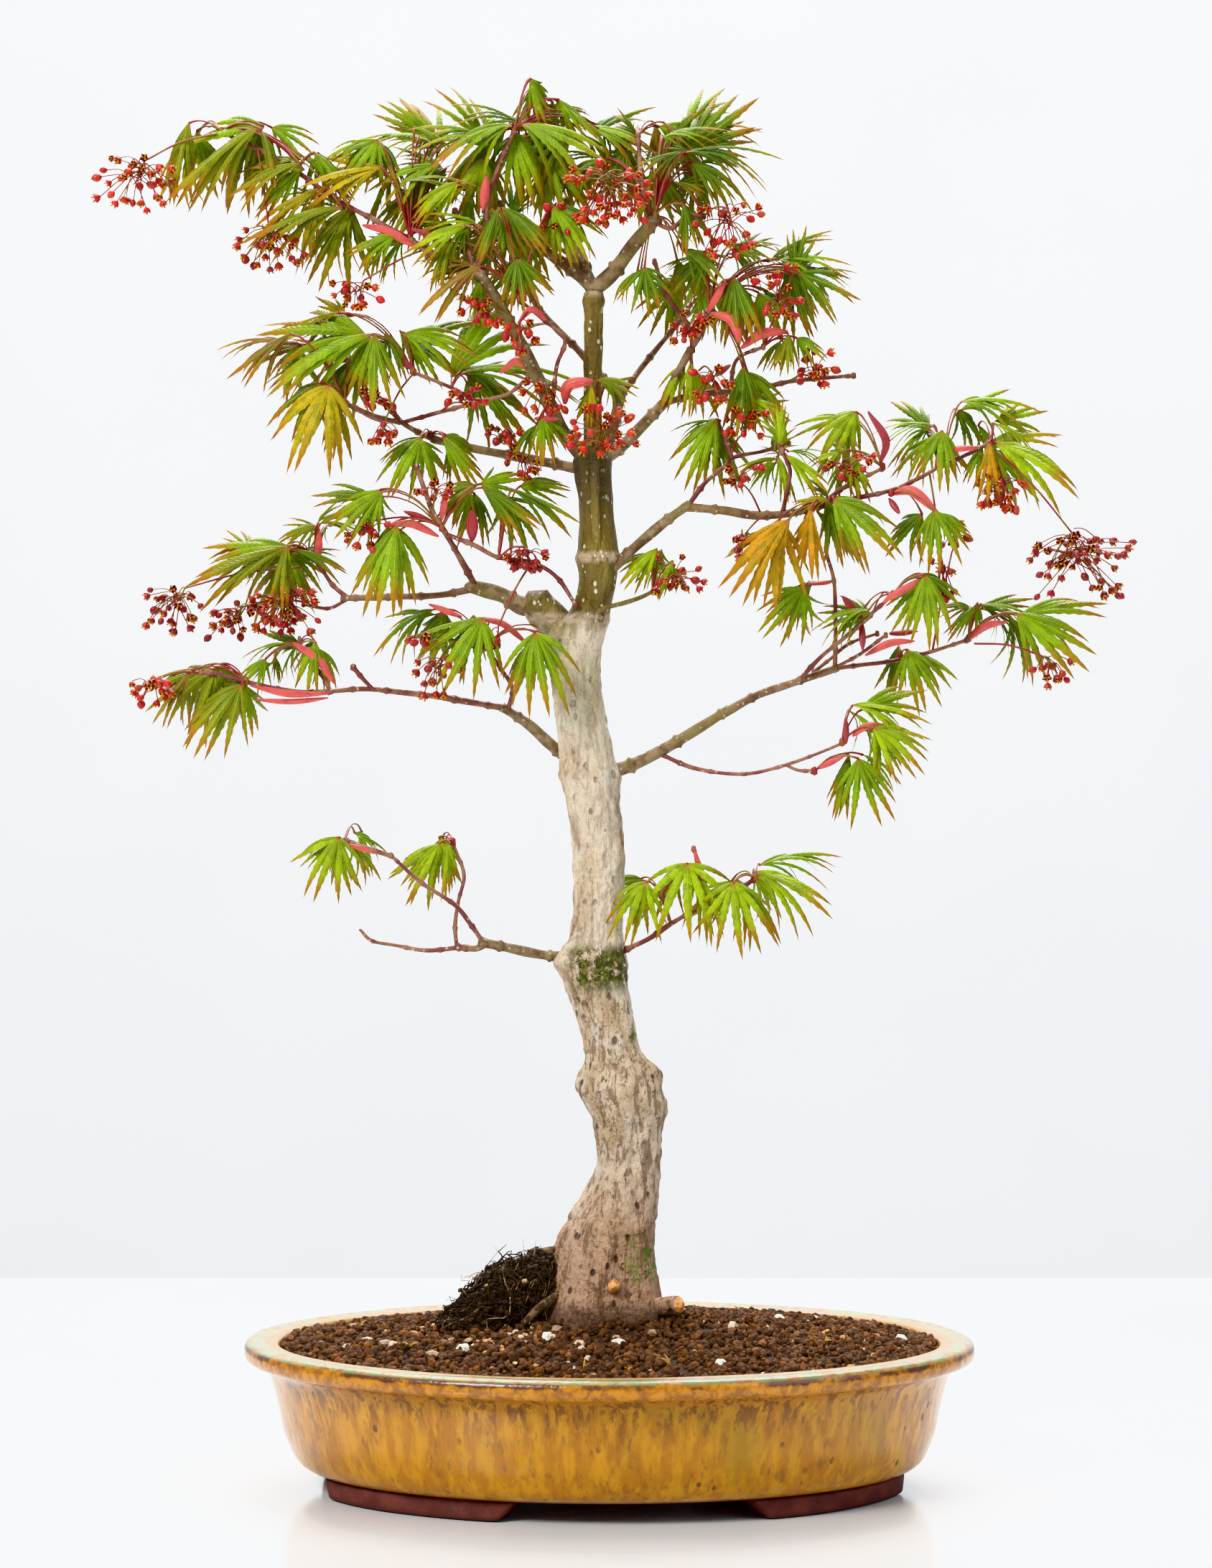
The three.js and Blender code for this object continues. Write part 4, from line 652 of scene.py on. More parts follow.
def trunk_shape():
    """The trunk: rings round a leaning middle line, pushed in and out.

    A vertex stands at (cos a, sin a) * radius(z) from the middle line. The radius is the one in the
    list, times 1 + buttresses cos(5a) and a wider left foot near the soil, plus bells for knots and
    folds, plus shallow upright furrows, the noise being stretched four times along the trunk.
    """
    rings = np.array(TRUNK_RINGS, float)
    rows, sides = 460, 112
    z = np.linspace(rings[0, 0], rings[-1, 0], rows)
    fine = along_curve(np.column_stack([rings[:, 1], rings[:, 2], rings[:, 0]]), 900)[0]
    order = np.argsort(fine[:, 2])
    middle = np.interp(z, fine[order, 2], fine[order, 0])
    radius = np.interp(z, fine[order, 2], fine[order, 1])
    angle = np.arange(sides) * 2 * math.pi / sides
    height, turn = np.meshgrid(z, angle, indexing="ij")
    seat = np.stack([np.cos(turn) * 20, np.sin(turn) * 20, height / 4], -1)
    old = 1 - smooth(400, 440, height)
    spread = radius[:, None] * np.ones_like(turn)
    flare = (1 - smooth(86, 146, height)) * (0.07 + 0.08 * np.cos(5 * turn + 0.6 + math.pi))
    flare += 0.20 * (1 - smooth(84, 122, height)) * np.clip(np.cos(turn - math.pi), 0, 1) ** 2
    spread = spread * (1 + flare)
    lumpy = 0.35 + 0.5 * (1 - smooth(190, 225, height))
    spread += lumpy * old * waves(seat, 6.0, 3) + 0.4 * old * waves(seat, 1.9, 4, 16)
    spread += 0.35 * old * waves(seat * [1, 1, 3], 1.2, 6, 20)
    spread += 0.25 * waves(seat * [1, 1, 4], 3.0, 5, 14)

    def knot(at_z, at_turn, size, lift):
        away = np.hypot((height - at_z), 16 * np.angle(np.exp(1j * (turn - at_turn))))
        return lift * (np.exp(-((away / size) ** 2)) - 0.65 * np.exp(-((away / (0.45 * size)) ** 2)))

    front = -math.pi / 2
    for at_z, at_turn, size, lift in [
        (204, -0.35, 6, 4.2), (192, front + 0.95, 5.5, 2.4), (186, -0.35, 5, 2.2),
        (199, math.pi - 0.2, 6, 3.6), (189, math.pi + 0.3, 5, 1.6), (262, math.pi + 0.5, 7, 2.0),
        (260, -0.3, 6, 2.0), (131, front + 0.5, 8, 1.6), (352, math.pi + 0.2, 6, 0.9),
        (350, -0.2, 6, 1.0), (121, front + 0.15, 6, 1.5), (109, front - 0.2, 7, 1.8),
        (230, 1.2, 7, 1.8), (300, 2.0, 6, 1.6), (160, 1.9, 8, 2.0),
    ]:
        spread += knot(at_z, at_turn, size, lift)
    fold = height - 131 - 3.5 * np.sin(turn * 2 + 1)
    spread += 0.5 * bump(fold, 0, 2.2) - 0.6 * bump(fold, -3.5, 1.6)
    for ring_z, lift in [(257, 0.9), (350, 0.8), (426, 0.8), (457, 1.3), (505, 0.9), (584, 1.0)]:
        spread += lift * bump(height, ring_z, 2.6)
    crack = bump(turn, -0.62, 0.055) * smooth(108, 116, height) * (1 - smooth(128, 136, height))
    spread -= 2.8 * crack
    points = np.stack([middle[:, None] + np.cos(turn) * spread, np.sin(turn) * spread, height], -1)
    top = points[-1:].mean(1, keepdims=True) + [0, 0, 2.5]
    points = np.concatenate([points, np.broadcast_to(top, (1, sides, 3))])
    across = np.concatenate([turn, turn[-1:]]) / (2 * math.pi)
    along = np.concatenate([height, height[-1:] + 2]) * MM
    return Shape(spot(points.reshape(-1, 3)), grid_faces(rows + 1, sides, True),
                 (0.6, 0.6, 0.6), across.ravel(), along.ravel())


def cut_stub(start, end, radius, rough, seed, colour, finish):
    """A sawn-off stub: a tube whose far end is a sunken disc inside a raised lip of bark."""
    start, end = spot(start), spot(end)
    aim = unit(end - start)
    rim = [radius * 1.1, radius, radius * 1.12, radius * 1.04]
    stub = tube([start, (start + end) / 2, end, end + aim * 0.0006], rim, 28, 22, colour, 0, rough, seed)
    face = tube([end - aim * 0.002, end + aim * 0.0014], [radius * 0.88] * 2, 20, 3, colour, finish)
    return [stub, face]


def branch_shapes(name):
    """Each stem of a limb as a tube with a swollen ring at every bud scar and a slight roughness."""
    shapes = []
    for index, (first, last, points) in enumerate(LIMBS[name]):
        path = spot(points)
        reach = np.linalg.norm(np.diff(path, axis=0), axis=1).sum()
        count = max(10, int(reach / 0.0011))
        share = np.linspace(0, 1, count)
        radii = (first + (last - first) * share) * (1 - 0.13 * youth_of(first, last))
        gap = 0.017 if first < 2.2 else 0.026
        scars = np.arange(gap * 0.6, reach, gap)
        for scar in scars:
            radii = radii * (1 + 0.42 * bump(share * reach, scar, 0.0010))
        radii *= 1 + 0.05 * np.sin(share * reach / 0.004 + index)
        youth = youth_of(first, last)
        shapes.append(tube(path, radii * MM, 12 if first > 2 else 9, count, (youth, 0, 0), 0, 0.06, index))
        if last > 0.95:
            ball = tube([path[-1] - [0, 0, 0.0012], path[-1] + [0, 0, 0.0012]],
                        [last * MM * 1.25, last * MM * 1.1], 8, 4, (youth, 0, 0))
            shapes.append(ball)
    return shapes


def youth_of(first, last):
    """0 on old thick wood, 1 on a shoot of this year, by the stem's middle radius in mm."""
    return float(1 - smooth(1.2, 2.6, np.float64((first + last) / 2)))


# ---- Leaves ----


def leaf_shape(row, colour, seed, lobes=None):
    """One palmate leaf: a fan of narrow lobes that join in a small palm.

    Lobe k lies along its own direction at angle k * fan / count from the middle one. At a share s of
    its length its half width is the sector 1.15 s tan(half the angle to the next lobe) + 0.012 as far as
    the notch, where it meets its neighbours, and beyond it the lance (1 - s)^0.92 (s + 0.03)^0.5 times
    its breadth. The two are joined softly as (sector^-3 + lance^-3)^(-1/3), with saw teeth on top.
    Each side of the midrib is folded down, and the lobe bows up and then droops: 4 A s (1 - s) - D s^3.
    """
    bx, by, bz, tx, ty, tz, fan, face = row
    base, tip = spot([bx, by, bz]), spot([tx, ty, tz])
    rng = np.random.default_rng(seed)
    chord = tip - base
    length = 1.10 * np.linalg.norm(chord)
    aim = unit(chord)
    outward = np.array([0, -math.cos(math.radians(face)), math.sin(math.radians(face))])
    normal = unit(outward - aim * (outward @ aim))
    side = np.cross(aim, normal)
    half = 3 if fan > 12 else 2
    step = math.radians(max(fan, 9)) / half
    rows = 19
    s = np.linspace(0, 1, rows)[:, None]
    q = np.array([-1, -0.5, 0, 0.5, 1.0])[None, :]
    shapes = []
    breadth = 0.142 if fan >= 20 else 0.130
    for k in range(-half, half + 1):
        size = (1 - 0.05 * abs(k) - 0.028 * k * k) * rng.uniform(0.94, 1.05)
        size = size if k else 1.0
        turn = k * step * (1 + 0.10 * rng.uniform(-1, 1))
        along = s * size
        sector = 1.15 * along * math.tan(min(step / 2, 0.5)) + 0.012
        lance = breadth * size * (1 - s) ** 0.92 * (s + 0.03) ** 0.5 + 1e-4
        teeth = 1 + 0.13 * np.where(np.arange(rows)[:, None] % 2 == 0, 1, -1) * smooth(0.3, 0.45, s)
        width = (lance**-3 + sector**-3) ** (-1 / 3) * teeth
        curl = 0.13 * rng.uniform(-1, 1)
        bend = curl * s**2
        forward = along * math.cos(turn) - (q * width + bend * size) * math.sin(turn)
        sideways = along * math.sin(turn) + (q * width + bend * size) * math.cos(turn)
        droop = 0.10 + 0.05 * abs(k) + 0.05 * rng.uniform(-1, 1)
        lift = 4 * 0.10 * s * (1 - s) - droop * s**3 * (1 if k else 0) - 0.55 * np.abs(q) * width
        lift = lift + 0.06 * np.sin(k * 2.1 + seed) * s + 0 * q
        lift = lift - 0.16 * abs(k) / half * s - 0.10 * s * s
        points = (base + aim * (forward * length)[..., None] + side * (sideways * length)[..., None]
                  + normal * (lift * length)[..., None])
        tips = np.clip(s + 0 * q, 0, 1)
        shade = np.asarray(colour) * rng.uniform(0.70, 1.25)
        shapes.append(Shape(points.reshape(-1, 3), grid_faces(rows, 5, False), shade,
                            (q + 0 * s).ravel(), tips.ravel(), 0))
    return shapes


def companions(row, seed, count):
    """Smaller leaves that open beside and behind one: turned, shortened and set back by chance."""
    rng = np.random.default_rng(seed)
    base, tip = np.array(row[:3], float), np.array(row[3:6], float)
    found = []
    for k in range(count):
        turn = math.radians(rng.uniform(18, 52)) * (1 if (k + seed) % 2 else -1)
        chord = (tip - base) * rng.uniform(0.66, 1.0)
        x = chord[0] * math.cos(turn) - chord[2] * math.sin(turn)
        z = chord[0] * math.sin(turn) + chord[2] * math.cos(turn)
        seat = base + [rng.uniform(-5, 5), 6 + 30 * rng.random() ** 2, rng.uniform(-3, 3)]
        end = seat + [x, chord[1] + rng.uniform(-4, 16), z]
        found.append([*seat, *end, rng.uniform(14, 46), rng.uniform(5, 60)])
    return found


def petiole_shape(start, base, seed):
    """A petiole: it leaves its shoot upwards, arches over and comes down on the leaf's base."""
    start, base = spot(start), spot(base)
    reach = np.linalg.norm(base - start)
    rise = np.array([0, 0, 0.16 * reach])
    path = [start, start * 0.62 + base * 0.38 + rise, start * 0.25 + base * 0.75 + rise * 0.8, base]
    return tube(path, [0.00062, 0.00045, 0.00042, 0.0007], 6, 10, (0, 0, 0), 1, 0, seed)


def scale_shape(points, width, tone, seed):
    """A bud scale: a spoon-shaped strap along a curve, cupped across.

    Its half width is 0.44 * width * sin(pi (0.06 + 0.9 s))^0.75 at a share s of its length.
    """
    centre, length = along_curve(spot(points), 15)
    s = np.linspace(0, 1, 15)[:, None]
    q = np.linspace(-1, 1, 7)[None, :]
    heading = unit(np.gradient(centre, axis=0))
    outward = np.array([0.15 * math.sin(seed), -1.0, 0.25 + 0.3 * math.cos(seed * 1.7)])
    normal = unit(outward - heading * (heading @ outward)[:, None])
    side = np.cross(heading, normal)
    half = width * 0.44 * MM * np.sin(math.pi * (0.06 + 0.9 * s)) ** 0.75
    twist = 0.7 * (s - 0.4) * math.sin(seed * 2.3)
    cup = half * (0.55 * q**2 - 0.3) + 0.0002 * np.sin(9 * s + seed) * q
    flat = q * half
    points = (centre[:, None, :] + side[:, None, :] * (flat * np.cos(twist) - cup * np.sin(twist))[..., None]
              + normal[:, None, :] * (flat * np.sin(twist) - cup * np.cos(twist))[..., None])
    colour = {"salmon": (0.58, 0.085, 0.070), "maroon": (0.24, 0.018, 0.025)}[tone]
    return Shape(points.reshape(-1, 3), grid_faces(15, 7, False), colour,
                 (q + 0 * s).ravel(), (s + 0 * q).ravel(), 2)


# ---- Flowers ----


def flower_shape(middle, size, heading, colour, turn):
    """A small cup of five petals round a yellow centre of stamen tufts, whose bright orange is partly
    painted highlight, opening along heading.

    At a share s from the stem to the lip its radius is size * sqrt(s) * (1 - 0.22 s^3), its depth is
    size * 1.25 * s, and it is scalloped by 1 + 0.22 s cos(5a).
    """
    sides, rows = 10, 4
    angle = np.arange(sides) * 2 * math.pi / sides + turn
    s = np.linspace(0, 1, rows)[:, None]
    first = unit(np.cross(heading, [0.4, 0.8, 0.1]))
    second = np.cross(heading, first)
    scallop = 1 + 0.22 * np.cos(5 * (angle - turn))[None, :] * s
    radius = size * np.sqrt(s) * (1 - 0.22 * s**3) * scallop
    depth = size * 1.25 * s * np.ones_like(radius)
    points = (middle + heading * depth[..., None] + first * (radius * np.cos(angle))[..., None]
              + second * (radius * np.sin(angle))[..., None])
    cup = Shape(points.reshape(-1, 3), grid_faces(rows, sides, True), colour, 0.0,
                np.repeat(s.ravel(), sides), 3)
    # Three stamen tufts in bright orange: partly the stamens' own colour, partly painted highlight standing
    # in for the glints on the flowers.
    tufts = []
    for k in range(3):
        lean = unit(heading + 0.35 * (first * math.cos(turn + 2.1 * k) + second * math.sin(turn + 2.1 * k)))
        tufts.append(tube([middle + heading * size * 0.6, middle + lean * size * 1.75],
                          [size * 0.16, size * 0.22], 3, 2, (0.75, 0.32, 0.02), 3))
    return [cup, *tufts]


def bud_shape(middle, size, heading, colour):
    """A closed bud: an egg with the radius 0.8 * size * sin(pi s)^0.8 over a length of 2.2 sizes."""
    rows, sides = 6, 8
    angle = np.arange(sides) * 2 * math.pi / sides
    s = np.linspace(0, 1, rows)[:, None]
    first = unit(np.cross(heading, [0.4, 0.8, 0.1]))
    second = np.cross(heading, first)
    radius = size * 0.8 * np.sin(math.pi * s) ** 0.8 * np.ones((1, sides))
    points = (middle + heading * (2.2 * size * s * np.ones((1, sides)))[..., None]
              + first * (radius * np.cos(angle))[..., None] + second * (radius * np.sin(angle))[..., None])
    return Shape(points.reshape(-1, 3), grid_faces(rows, sides, True), colour, 0.0,
                 np.repeat(s.ravel(), sides), 3)


def cluster_shapes(cluster, seed):
    """A hanging cluster: a stalk to its top, pedicels that fan out and droop, and a flower on each."""
    start, middle, width, height, count, dark = cluster
    rng = np.random.default_rng(seed)
    start, middle = np.array(start, float), np.array(middle, float)
    count = int(count * 1.6)
    hub = middle + [0, 0, height * 0.34] if start[2] > middle[2] - 4 else middle - [0, 0, height * 0.35]
    hub = hub * 0.9 + start * 0.1 if np.linalg.norm(start - hub) > 25 else hub
    shapes = [tube(spot([start, (start + hub) / 2 + [0, 0, 2.5], hub]), [0.0006, 0.0005], 6, 10,
                   (0, 0, 0), 1),
              tube(spot([hub, (hub + middle) / 2 + [0.8, 0, 0], middle]), [0.0005, 0.0003], 5, 6,
                   (0, 0, 0), 1)]
    for k in range(count):
        turn = k * 2.39996
        share = math.sqrt((k + 0.5) / count)
        end = middle + [0.50 * width * share * math.cos(turn), 0.38 * width * share * math.sin(turn),
                        height * (0.42 - 0.84 * rng.random())]
        root = hub + (middle - hub) * rng.uniform(0, 0.9) + rng.normal(0, 0.06 * width, 3) * [1, 0.7, 0.4]
        bow = (root + end) / 2 + [0, 0, 1.0 + 1.5 * rng.random()]
        shapes.append(tube(spot([root, bow, end]), [0.00032, 0.0003], 4, 6, (0, 0, 0), 1))
        heading = unit(end - bow + rng.normal(0, 2.0, 3) + [0, -1.5, -1.5])
        size = (2.0 + 0.9 * rng.random()) * MM
        # Darkness blends each flower from crimson towards deep maroon: partly the flowers' own colour,
        # partly painted shade for clusters behind and under the leaves.
        bright = np.array([0.50, 0.008, 0.006]) * (1 - dark) + np.array([0.16, 0.004, 0.008]) * dark
        bright = bright * rng.uniform(0.65, 1.25) + [0, 0.045 * rng.random() ** 2 * (1 - dark), 0]
        if rng.random() < 0.72:
            shapes.extend(flower_shape(spot(end), size, heading, bright, turn))
        else:
            shapes.append(bud_shape(spot(end), size, heading, bright * 0.8))
    return shapes

# ---- Pot, soil and roots ----


def oval(inset, height, angle):
    """Points of an oval that keeps the same distance in from the lip; past 50 mm it shrinks in scale."""
    length = HALF_LENGTH - inset
    even = HALF_DEPTH - 0.05
    depth = np.where(inset < 0.05, HALF_DEPTH - inset, length * even / (HALF_LENGTH - 0.05))
    x = length * np.cos(angle)
    y = depth * np.sin(angle)
    return np.stack([x, y, height * np.ones_like(x)], -1)


def pot_shape():
    """The pot: its profile, from the floor's underside out, up and over the lip and down inside.

    The profile is a Catmull-Rom curve through inset and height pairs, carried round the oval.
    """
    low, top = FOOT_TOP / MM + 0.3, RIM / MM
    rise = top - 10 - low
    outer = [(150, low), (70, low), (38, low), (34, low), (30.5, low + 0.7), (27, low + rise * 0.06),
             (24.5, low + rise * 0.12), (22.5, low + rise * 0.2), (19.5, low + rise * 0.35),
             (17, low + rise * 0.58), (14.5, low + rise * 0.77), (11.5, low + rise * 0.92),
             (7, top - 10.3), (3, top - 9.6), (0.8, top - 8.2), (0.1, top - 5.5), (0.4, top - 2.6),
             (1.8, top - 0.8), (3.8, top - 0.2), (6.5, top - 0.1), (10, top - 0.6), (13.5, top - 0.5),
             (15.2, top - 0.5), (16.4, top - 1.2), (17.5, top - 3), (20, top - 14), (22.5, low + 34),
             (27, low + 17), (34, low + 9), (60, low + 8), (150, low + 8)]
    line = along_curve(np.array([(inset, height, 0) for inset, height in outer]), 300)[0]
    inset, height = line[:, 0] * MM, line[:, 1] * MM
    sides = 208
    angle = np.arange(sides) * 2 * math.pi / sides
    points = oval(inset[:, None] + 0 * angle, height[:, None], angle[None, :] + 0 * inset[:, None])
    ripple = waves(points, 0.016, 21) * 0.00022 + waves(points, 0.05, 22) * 0.0004
    outside = (1 - smooth(0.028, 0.035, inset))[:, None]
    bead = bump(height, RIM - 0.0105, 0.0016)[:, None] * waves(points, 0.009, 23) * 0.00035
    outward = unit(points * [1, 1, 0])
    points = points + outward * ((ripple + bead) * outside)[..., None]
    points[..., 2] = np.minimum(points[..., 2] + ripple * 0.4 * outside, RIM)
    lip = (np.arange(300) / 299)[:, None] * np.ones((1, sides))
    return Shape(points.reshape(-1, 3), grid_faces(300, sides, True), (0.5, 0.5, 0.5),
                 (angle[None, :] + 0 * lip).ravel(), lip.ravel())


def foot_shape(node, middle):
    """A low foot bent along the oval: a rounded box section carried through an arc.

    The section is the squared circle |x|^7 + |y|^7 = 1, and the arc's ends lean in towards the table.
    """
    rows, sides = 60, 40
    low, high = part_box(node)
    height = high[2] - low[2]
    share = np.linspace(-1, 1, rows)[:, None]
    turn = np.arange(sides)[None, :] * 2 * math.pi / sides
    across = np.sign(np.cos(turn)) * np.abs(np.cos(turn)) ** (1 / 3.5)
    up = np.sign(np.sin(turn)) * np.abs(np.sin(turn)) ** (1 / 3.5)
    ends = 1 - np.abs(share) ** 60
    lift = up * 0.5 + 0.5
    span = 26 * (1 - 0.12 * (1 - lift))
    angle = np.radians(middle + share * span)
    inset = 0.0405 - across * 0.0075 * (0.9 + 0.1 * ends) + 0.0006 * waves(
        np.stack([share * 9 + 0 * up, 0 * share + across, 0 * share + up], -1), 2.0, 31)
    x = (HALF_LENGTH - inset) * np.cos(angle)
    y = -(HALF_DEPTH - inset) * np.sin(angle)
    z = low[2] + height * np.clip(lift * (0.96 + 0.04 * ends) + 0.02 * (1 - ends), 0, 1)
    body = np.stack([x, y, z], -1)
    caps = [np.broadcast_to(body[row].mean(0), (1, sides, 3)) for row in (0, -1)]
    points = np.concatenate([caps[0], body, caps[1]])
    faces = grid_faces(rows + 2, sides, True)[:, ::-1]
    return Shape(points.reshape(-1, 3), faces, (0.5, 0.5, 0.5))


def ground_level(x, y):
    """Height of the soil: 3 mm below the lip at the wall, then up a slope and a mound to the trunk."""
    inset = HALF_LENGTH - np.hypot(x, y * (HALF_LENGTH - 0.05) / (HALF_DEPTH - 0.05))
    inset = np.clip(inset / MM, 0, 180)
    knots = [0, 19, 50, 90, 130, 158, 180]
    rise = np.array([0, 0, 0.25, 0.42, 0.72, 1, 1]) * 18
    return RIM - 0.003 + np.interp(inset, knots, rise) * MM


def soil_bed():
    """The bed under the granules: a disc grid that follows the mound, closed below the surface."""
    rows, sides = 40, 120
    share = np.linspace(0, 1, rows)[:, None]
    angle = np.arange(sides)[None, :] * 2 * math.pi / sides
    inset = 0.0195 + (HALF_LENGTH - 0.0195) * (1 - share)
    length = HALF_LENGTH - inset
    depth = np.where(inset < 0.05, HALF_DEPTH - inset, length * (HALF_DEPTH - 0.05) / (HALF_LENGTH - 0.05))
    x, y = length * np.cos(angle), depth * np.sin(angle)
    z = ground_level(x, y) - 0.0008 + 0.0006 * waves(np.stack([x, y, 0 * x], -1), 0.01, 41)
    upper = np.stack([x, y, z], -1)
    edge = upper[-1:] - [0, 0, 0.02]
    points = np.concatenate([upper, edge])
    return Shape(points.reshape(-1, 3), grid_faces(rows + 1, sides, True), (0.045, 0.026, 0.016))


ICOSA = np.array([(0, 1, 1.618), (0, -1, 1.618), (0, 1, -1.618), (0, -1, -1.618), (1, 1.618, 0),
                  (-1, 1.618, 0), (1, -1.618, 0), (-1, -1.618, 0), (1.618, 0, 1), (1.618, 0, -1),
                  (-1.618, 0, 1), (-1.618, 0, -1)]) / 1.902
ICOSA_FACES = np.array([(0, 1, 8), (0, 8, 4), (0, 4, 5), (0, 5, 10), (0, 10, 1), (1, 6, 8), (8, 6, 9),
                        (8, 9, 4), (4, 9, 2), (4, 2, 5), (5, 2, 11), (5, 11, 10), (10, 11, 7), (10, 7, 1),
                        (1, 7, 6), (3, 2, 9), (3, 9, 6), (3, 6, 7), (3, 7, 11), (3, 11, 2)])


def lumps(centres, sizes, colours, squash, seed, finish=0):
    """Many small lumps: twenty-faced balls, each corner pushed in or out and the whole flattened."""
    rng = np.random.default_rng(seed)
    count = len(centres)
    reach = rng.uniform(0.72, 1.18, (count, 12, 1))
    body = ICOSA[None] * reach * sizes[:, None, None]
    turn = rng.uniform(0, 2 * math.pi, count)
    cos, sin = np.cos(turn)[:, None], np.sin(turn)[:, None]
    stretch = rng.uniform(0.75, 1.3, (count, 1))
    x = body[..., 0] * stretch
    y = body[..., 1] / stretch
    points = np.stack([x * cos - y * sin, x * sin + y * cos, body[..., 2] * squash], -1)
    points = points + np.asarray(centres)[:, None, :]
    faces = (ICOSA_FACES[None] + 12 * np.arange(count)[:, None, None]).reshape(-1, 3)
    shade = np.repeat(colours, 12, axis=0) * rng.uniform(0.8, 1.25, (count * 12, 1))
    return Shape(points.reshape(-1, 3), faces, np.clip(shade, 0, 1), 0.0, 0.0, finish)


def scattered(count, seed, keep_clear=25.0):
    """Points on the soil, drawn evenly over its oval and kept clear of the trunk."""
    rng = np.random.default_rng(seed)
    radius = np.sqrt(rng.random(count * 2))
    turn = rng.random(count * 2) * 2 * math.pi
    x = radius * (HALF_LENGTH - 0.0185) * np.cos(turn)
    y = radius * (HALF_DEPTH - 0.0185) * np.sin(turn)
    clear = np.hypot(x + 0.003, y) > keep_clear * MM
    x, y = x[clear][:count], y[clear][:count]
    return np.stack([x, y, ground_level(x, y)], -1)


def granule_shapes():
    """Dark granules in crowded layers, darker round the trunk."""
    rng = np.random.default_rng(51)
    seats = scattered(9000, 52, 21)
    size = rng.gamma(9, 0.19, len(seats)) * MM
    size = np.clip(size * 0.92, 0.0008, 0.0026)
    seats[:, 2] += rng.uniform(-0.0010, 0.0016, len(seats))
    base = np.array([0.105, 0.046, 0.021]) * rng.uniform(0.45, 1.5, (len(seats), 1))
    rust = (rng.random((len(seats), 1)) < 0.16) * np.array([0.10, 0.035, 0.004])
    # The granules grow darker towards the foot of the trunk.
    near_trunk_darkening = 1 - 0.55 * bump(np.hypot(seats[:, 0] + 0.005, seats[:, 1]), 0.0, 0.045)[:, None]
    return [lumps(seats, size, (base + rust) * near_trunk_darkening, 0.9, 53)]


def stone_shapes():
    """Pale grit among the granules: scattered, with a pocket of it in front, left of the trunk."""
    rng = np.random.default_rng(61)
    seats = scattered(90, 62, 34)
    pocket = np.column_stack([rng.normal(-52, 14, 34), rng.normal(-42, 15, 34)]) * MM
    named = np.array([(143, -10), (60, -22), (-30, -48), (-14, -60), (52, -86), (-108, -40), (-118, -30),
                      (-84, -70), (85, 30), (-25, -38), (-70, -62), (20, -44), (4, -58)]) * MM
    ring = np.concatenate([pocket, named])
    ring = np.column_stack([ring, ground_level(ring[:, 0], ring[:, 1])])
    seats = np.concatenate([seats, ring])
    size = rng.uniform(1.1, 2.4, len(seats)) * MM
    size[-13:] = rng.uniform(2.7, 3.8, 13) * MM
    palette = np.array([(0.66, 0.52, 0.34), (0.45, 0.27, 0.12), (0.62, 0.28, 0.08), (0.60, 0.50, 0.36),
                        (0.30, 0.20, 0.12)])
    colours = palette[rng.integers(0, 5, len(seats))]
    colours[-13::2] = (0.82, 0.79, 0.72)
    seats[:, 2] += size * 0.35
    return [lumps(seats, size, colours, 0.75, 63, 1)]


def seedling_shapes():
    """Scraps of green on the soil: thin blades that lean and lie in tufts of three."""
    rng = np.random.default_rng(71)
    shapes = []
    for x, y in [(-12, -98), (28, -92), (104, -40), (-96, -52), (-124, 14), (66, 62), (132, -18),
                 (-40, 84), (8, -102), (118, 40)]:
        for k in range(3):
            start = np.array([x * MM, y * MM, float(ground_level(x * MM, y * MM)) + 0.001])
            lean = np.array([rng.normal(0, 1), rng.normal(0, 1), 0.7])
            end = start + unit(lean) * rng.uniform(2.5, 6) * MM
            shapes.append(tube([start, (start + end) / 2 + [0, 0, 0.0008], end], [0.0005, 0.0007, 0.0002],
                               5, 6, (0.18, 0.30, 0.03), 1))
    return shapes


MOUNDS = (
    {"middle": (-52, -6, 82), "reach": (26, 24, 30), "lean": 0.30},
    {"middle": (-36, -5, 92), "reach": (16, 20, 25), "lean": 0.10},
    {"middle": (-66, -8, 80), "reach": (20, 20, 14), "lean": 0.20},
)


def on_mound(mound, up, turn, lift):
    """Points of a leaning egg: middle + reach * (sin u cos t, sin u sin t, cos u (1 + lean x z)) * lift."""
    ball = np.stack([np.sin(up) * np.cos(turn), np.sin(up) * np.sin(turn), np.cos(up) + 0 * turn], -1)
    lean = 1 + mound["lean"] * ball[..., 0] * np.maximum(ball[..., 2], 0)
    ball[..., 2] *= lean
    return np.array(mound["middle"], float) + ball * np.array(mound["reach"], float) * lift[..., None]


def root_core():
    """The root mat's core: three eggs that lean on the trunk, roughened by noise."""
    rows, sides = 44, 60
    up = np.linspace(0, math.pi, rows)[:, None]
    turn = np.arange(sides)[None, :] * 2 * math.pi / sides
    cores = []
    for seed, mound in enumerate(MOUNDS):
        ball = np.stack([np.sin(up) * np.cos(turn), np.sin(up) * np.sin(turn), np.cos(up) + 0 * turn], -1)
        lift = 0.80 * (1 + 0.11 * waves(ball, 0.25, 81 + seed) + 0.10 * waves(ball, 0.09, 91 + seed))
        points = on_mound(mound, up + 0 * turn, turn + 0 * up, lift)
        cores.append(Shape(spot(points.reshape(-1, 3)), grid_faces(rows, sides, True)[:, ::-1],
                           (0.016, 0.010, 0.007)))
    return cores


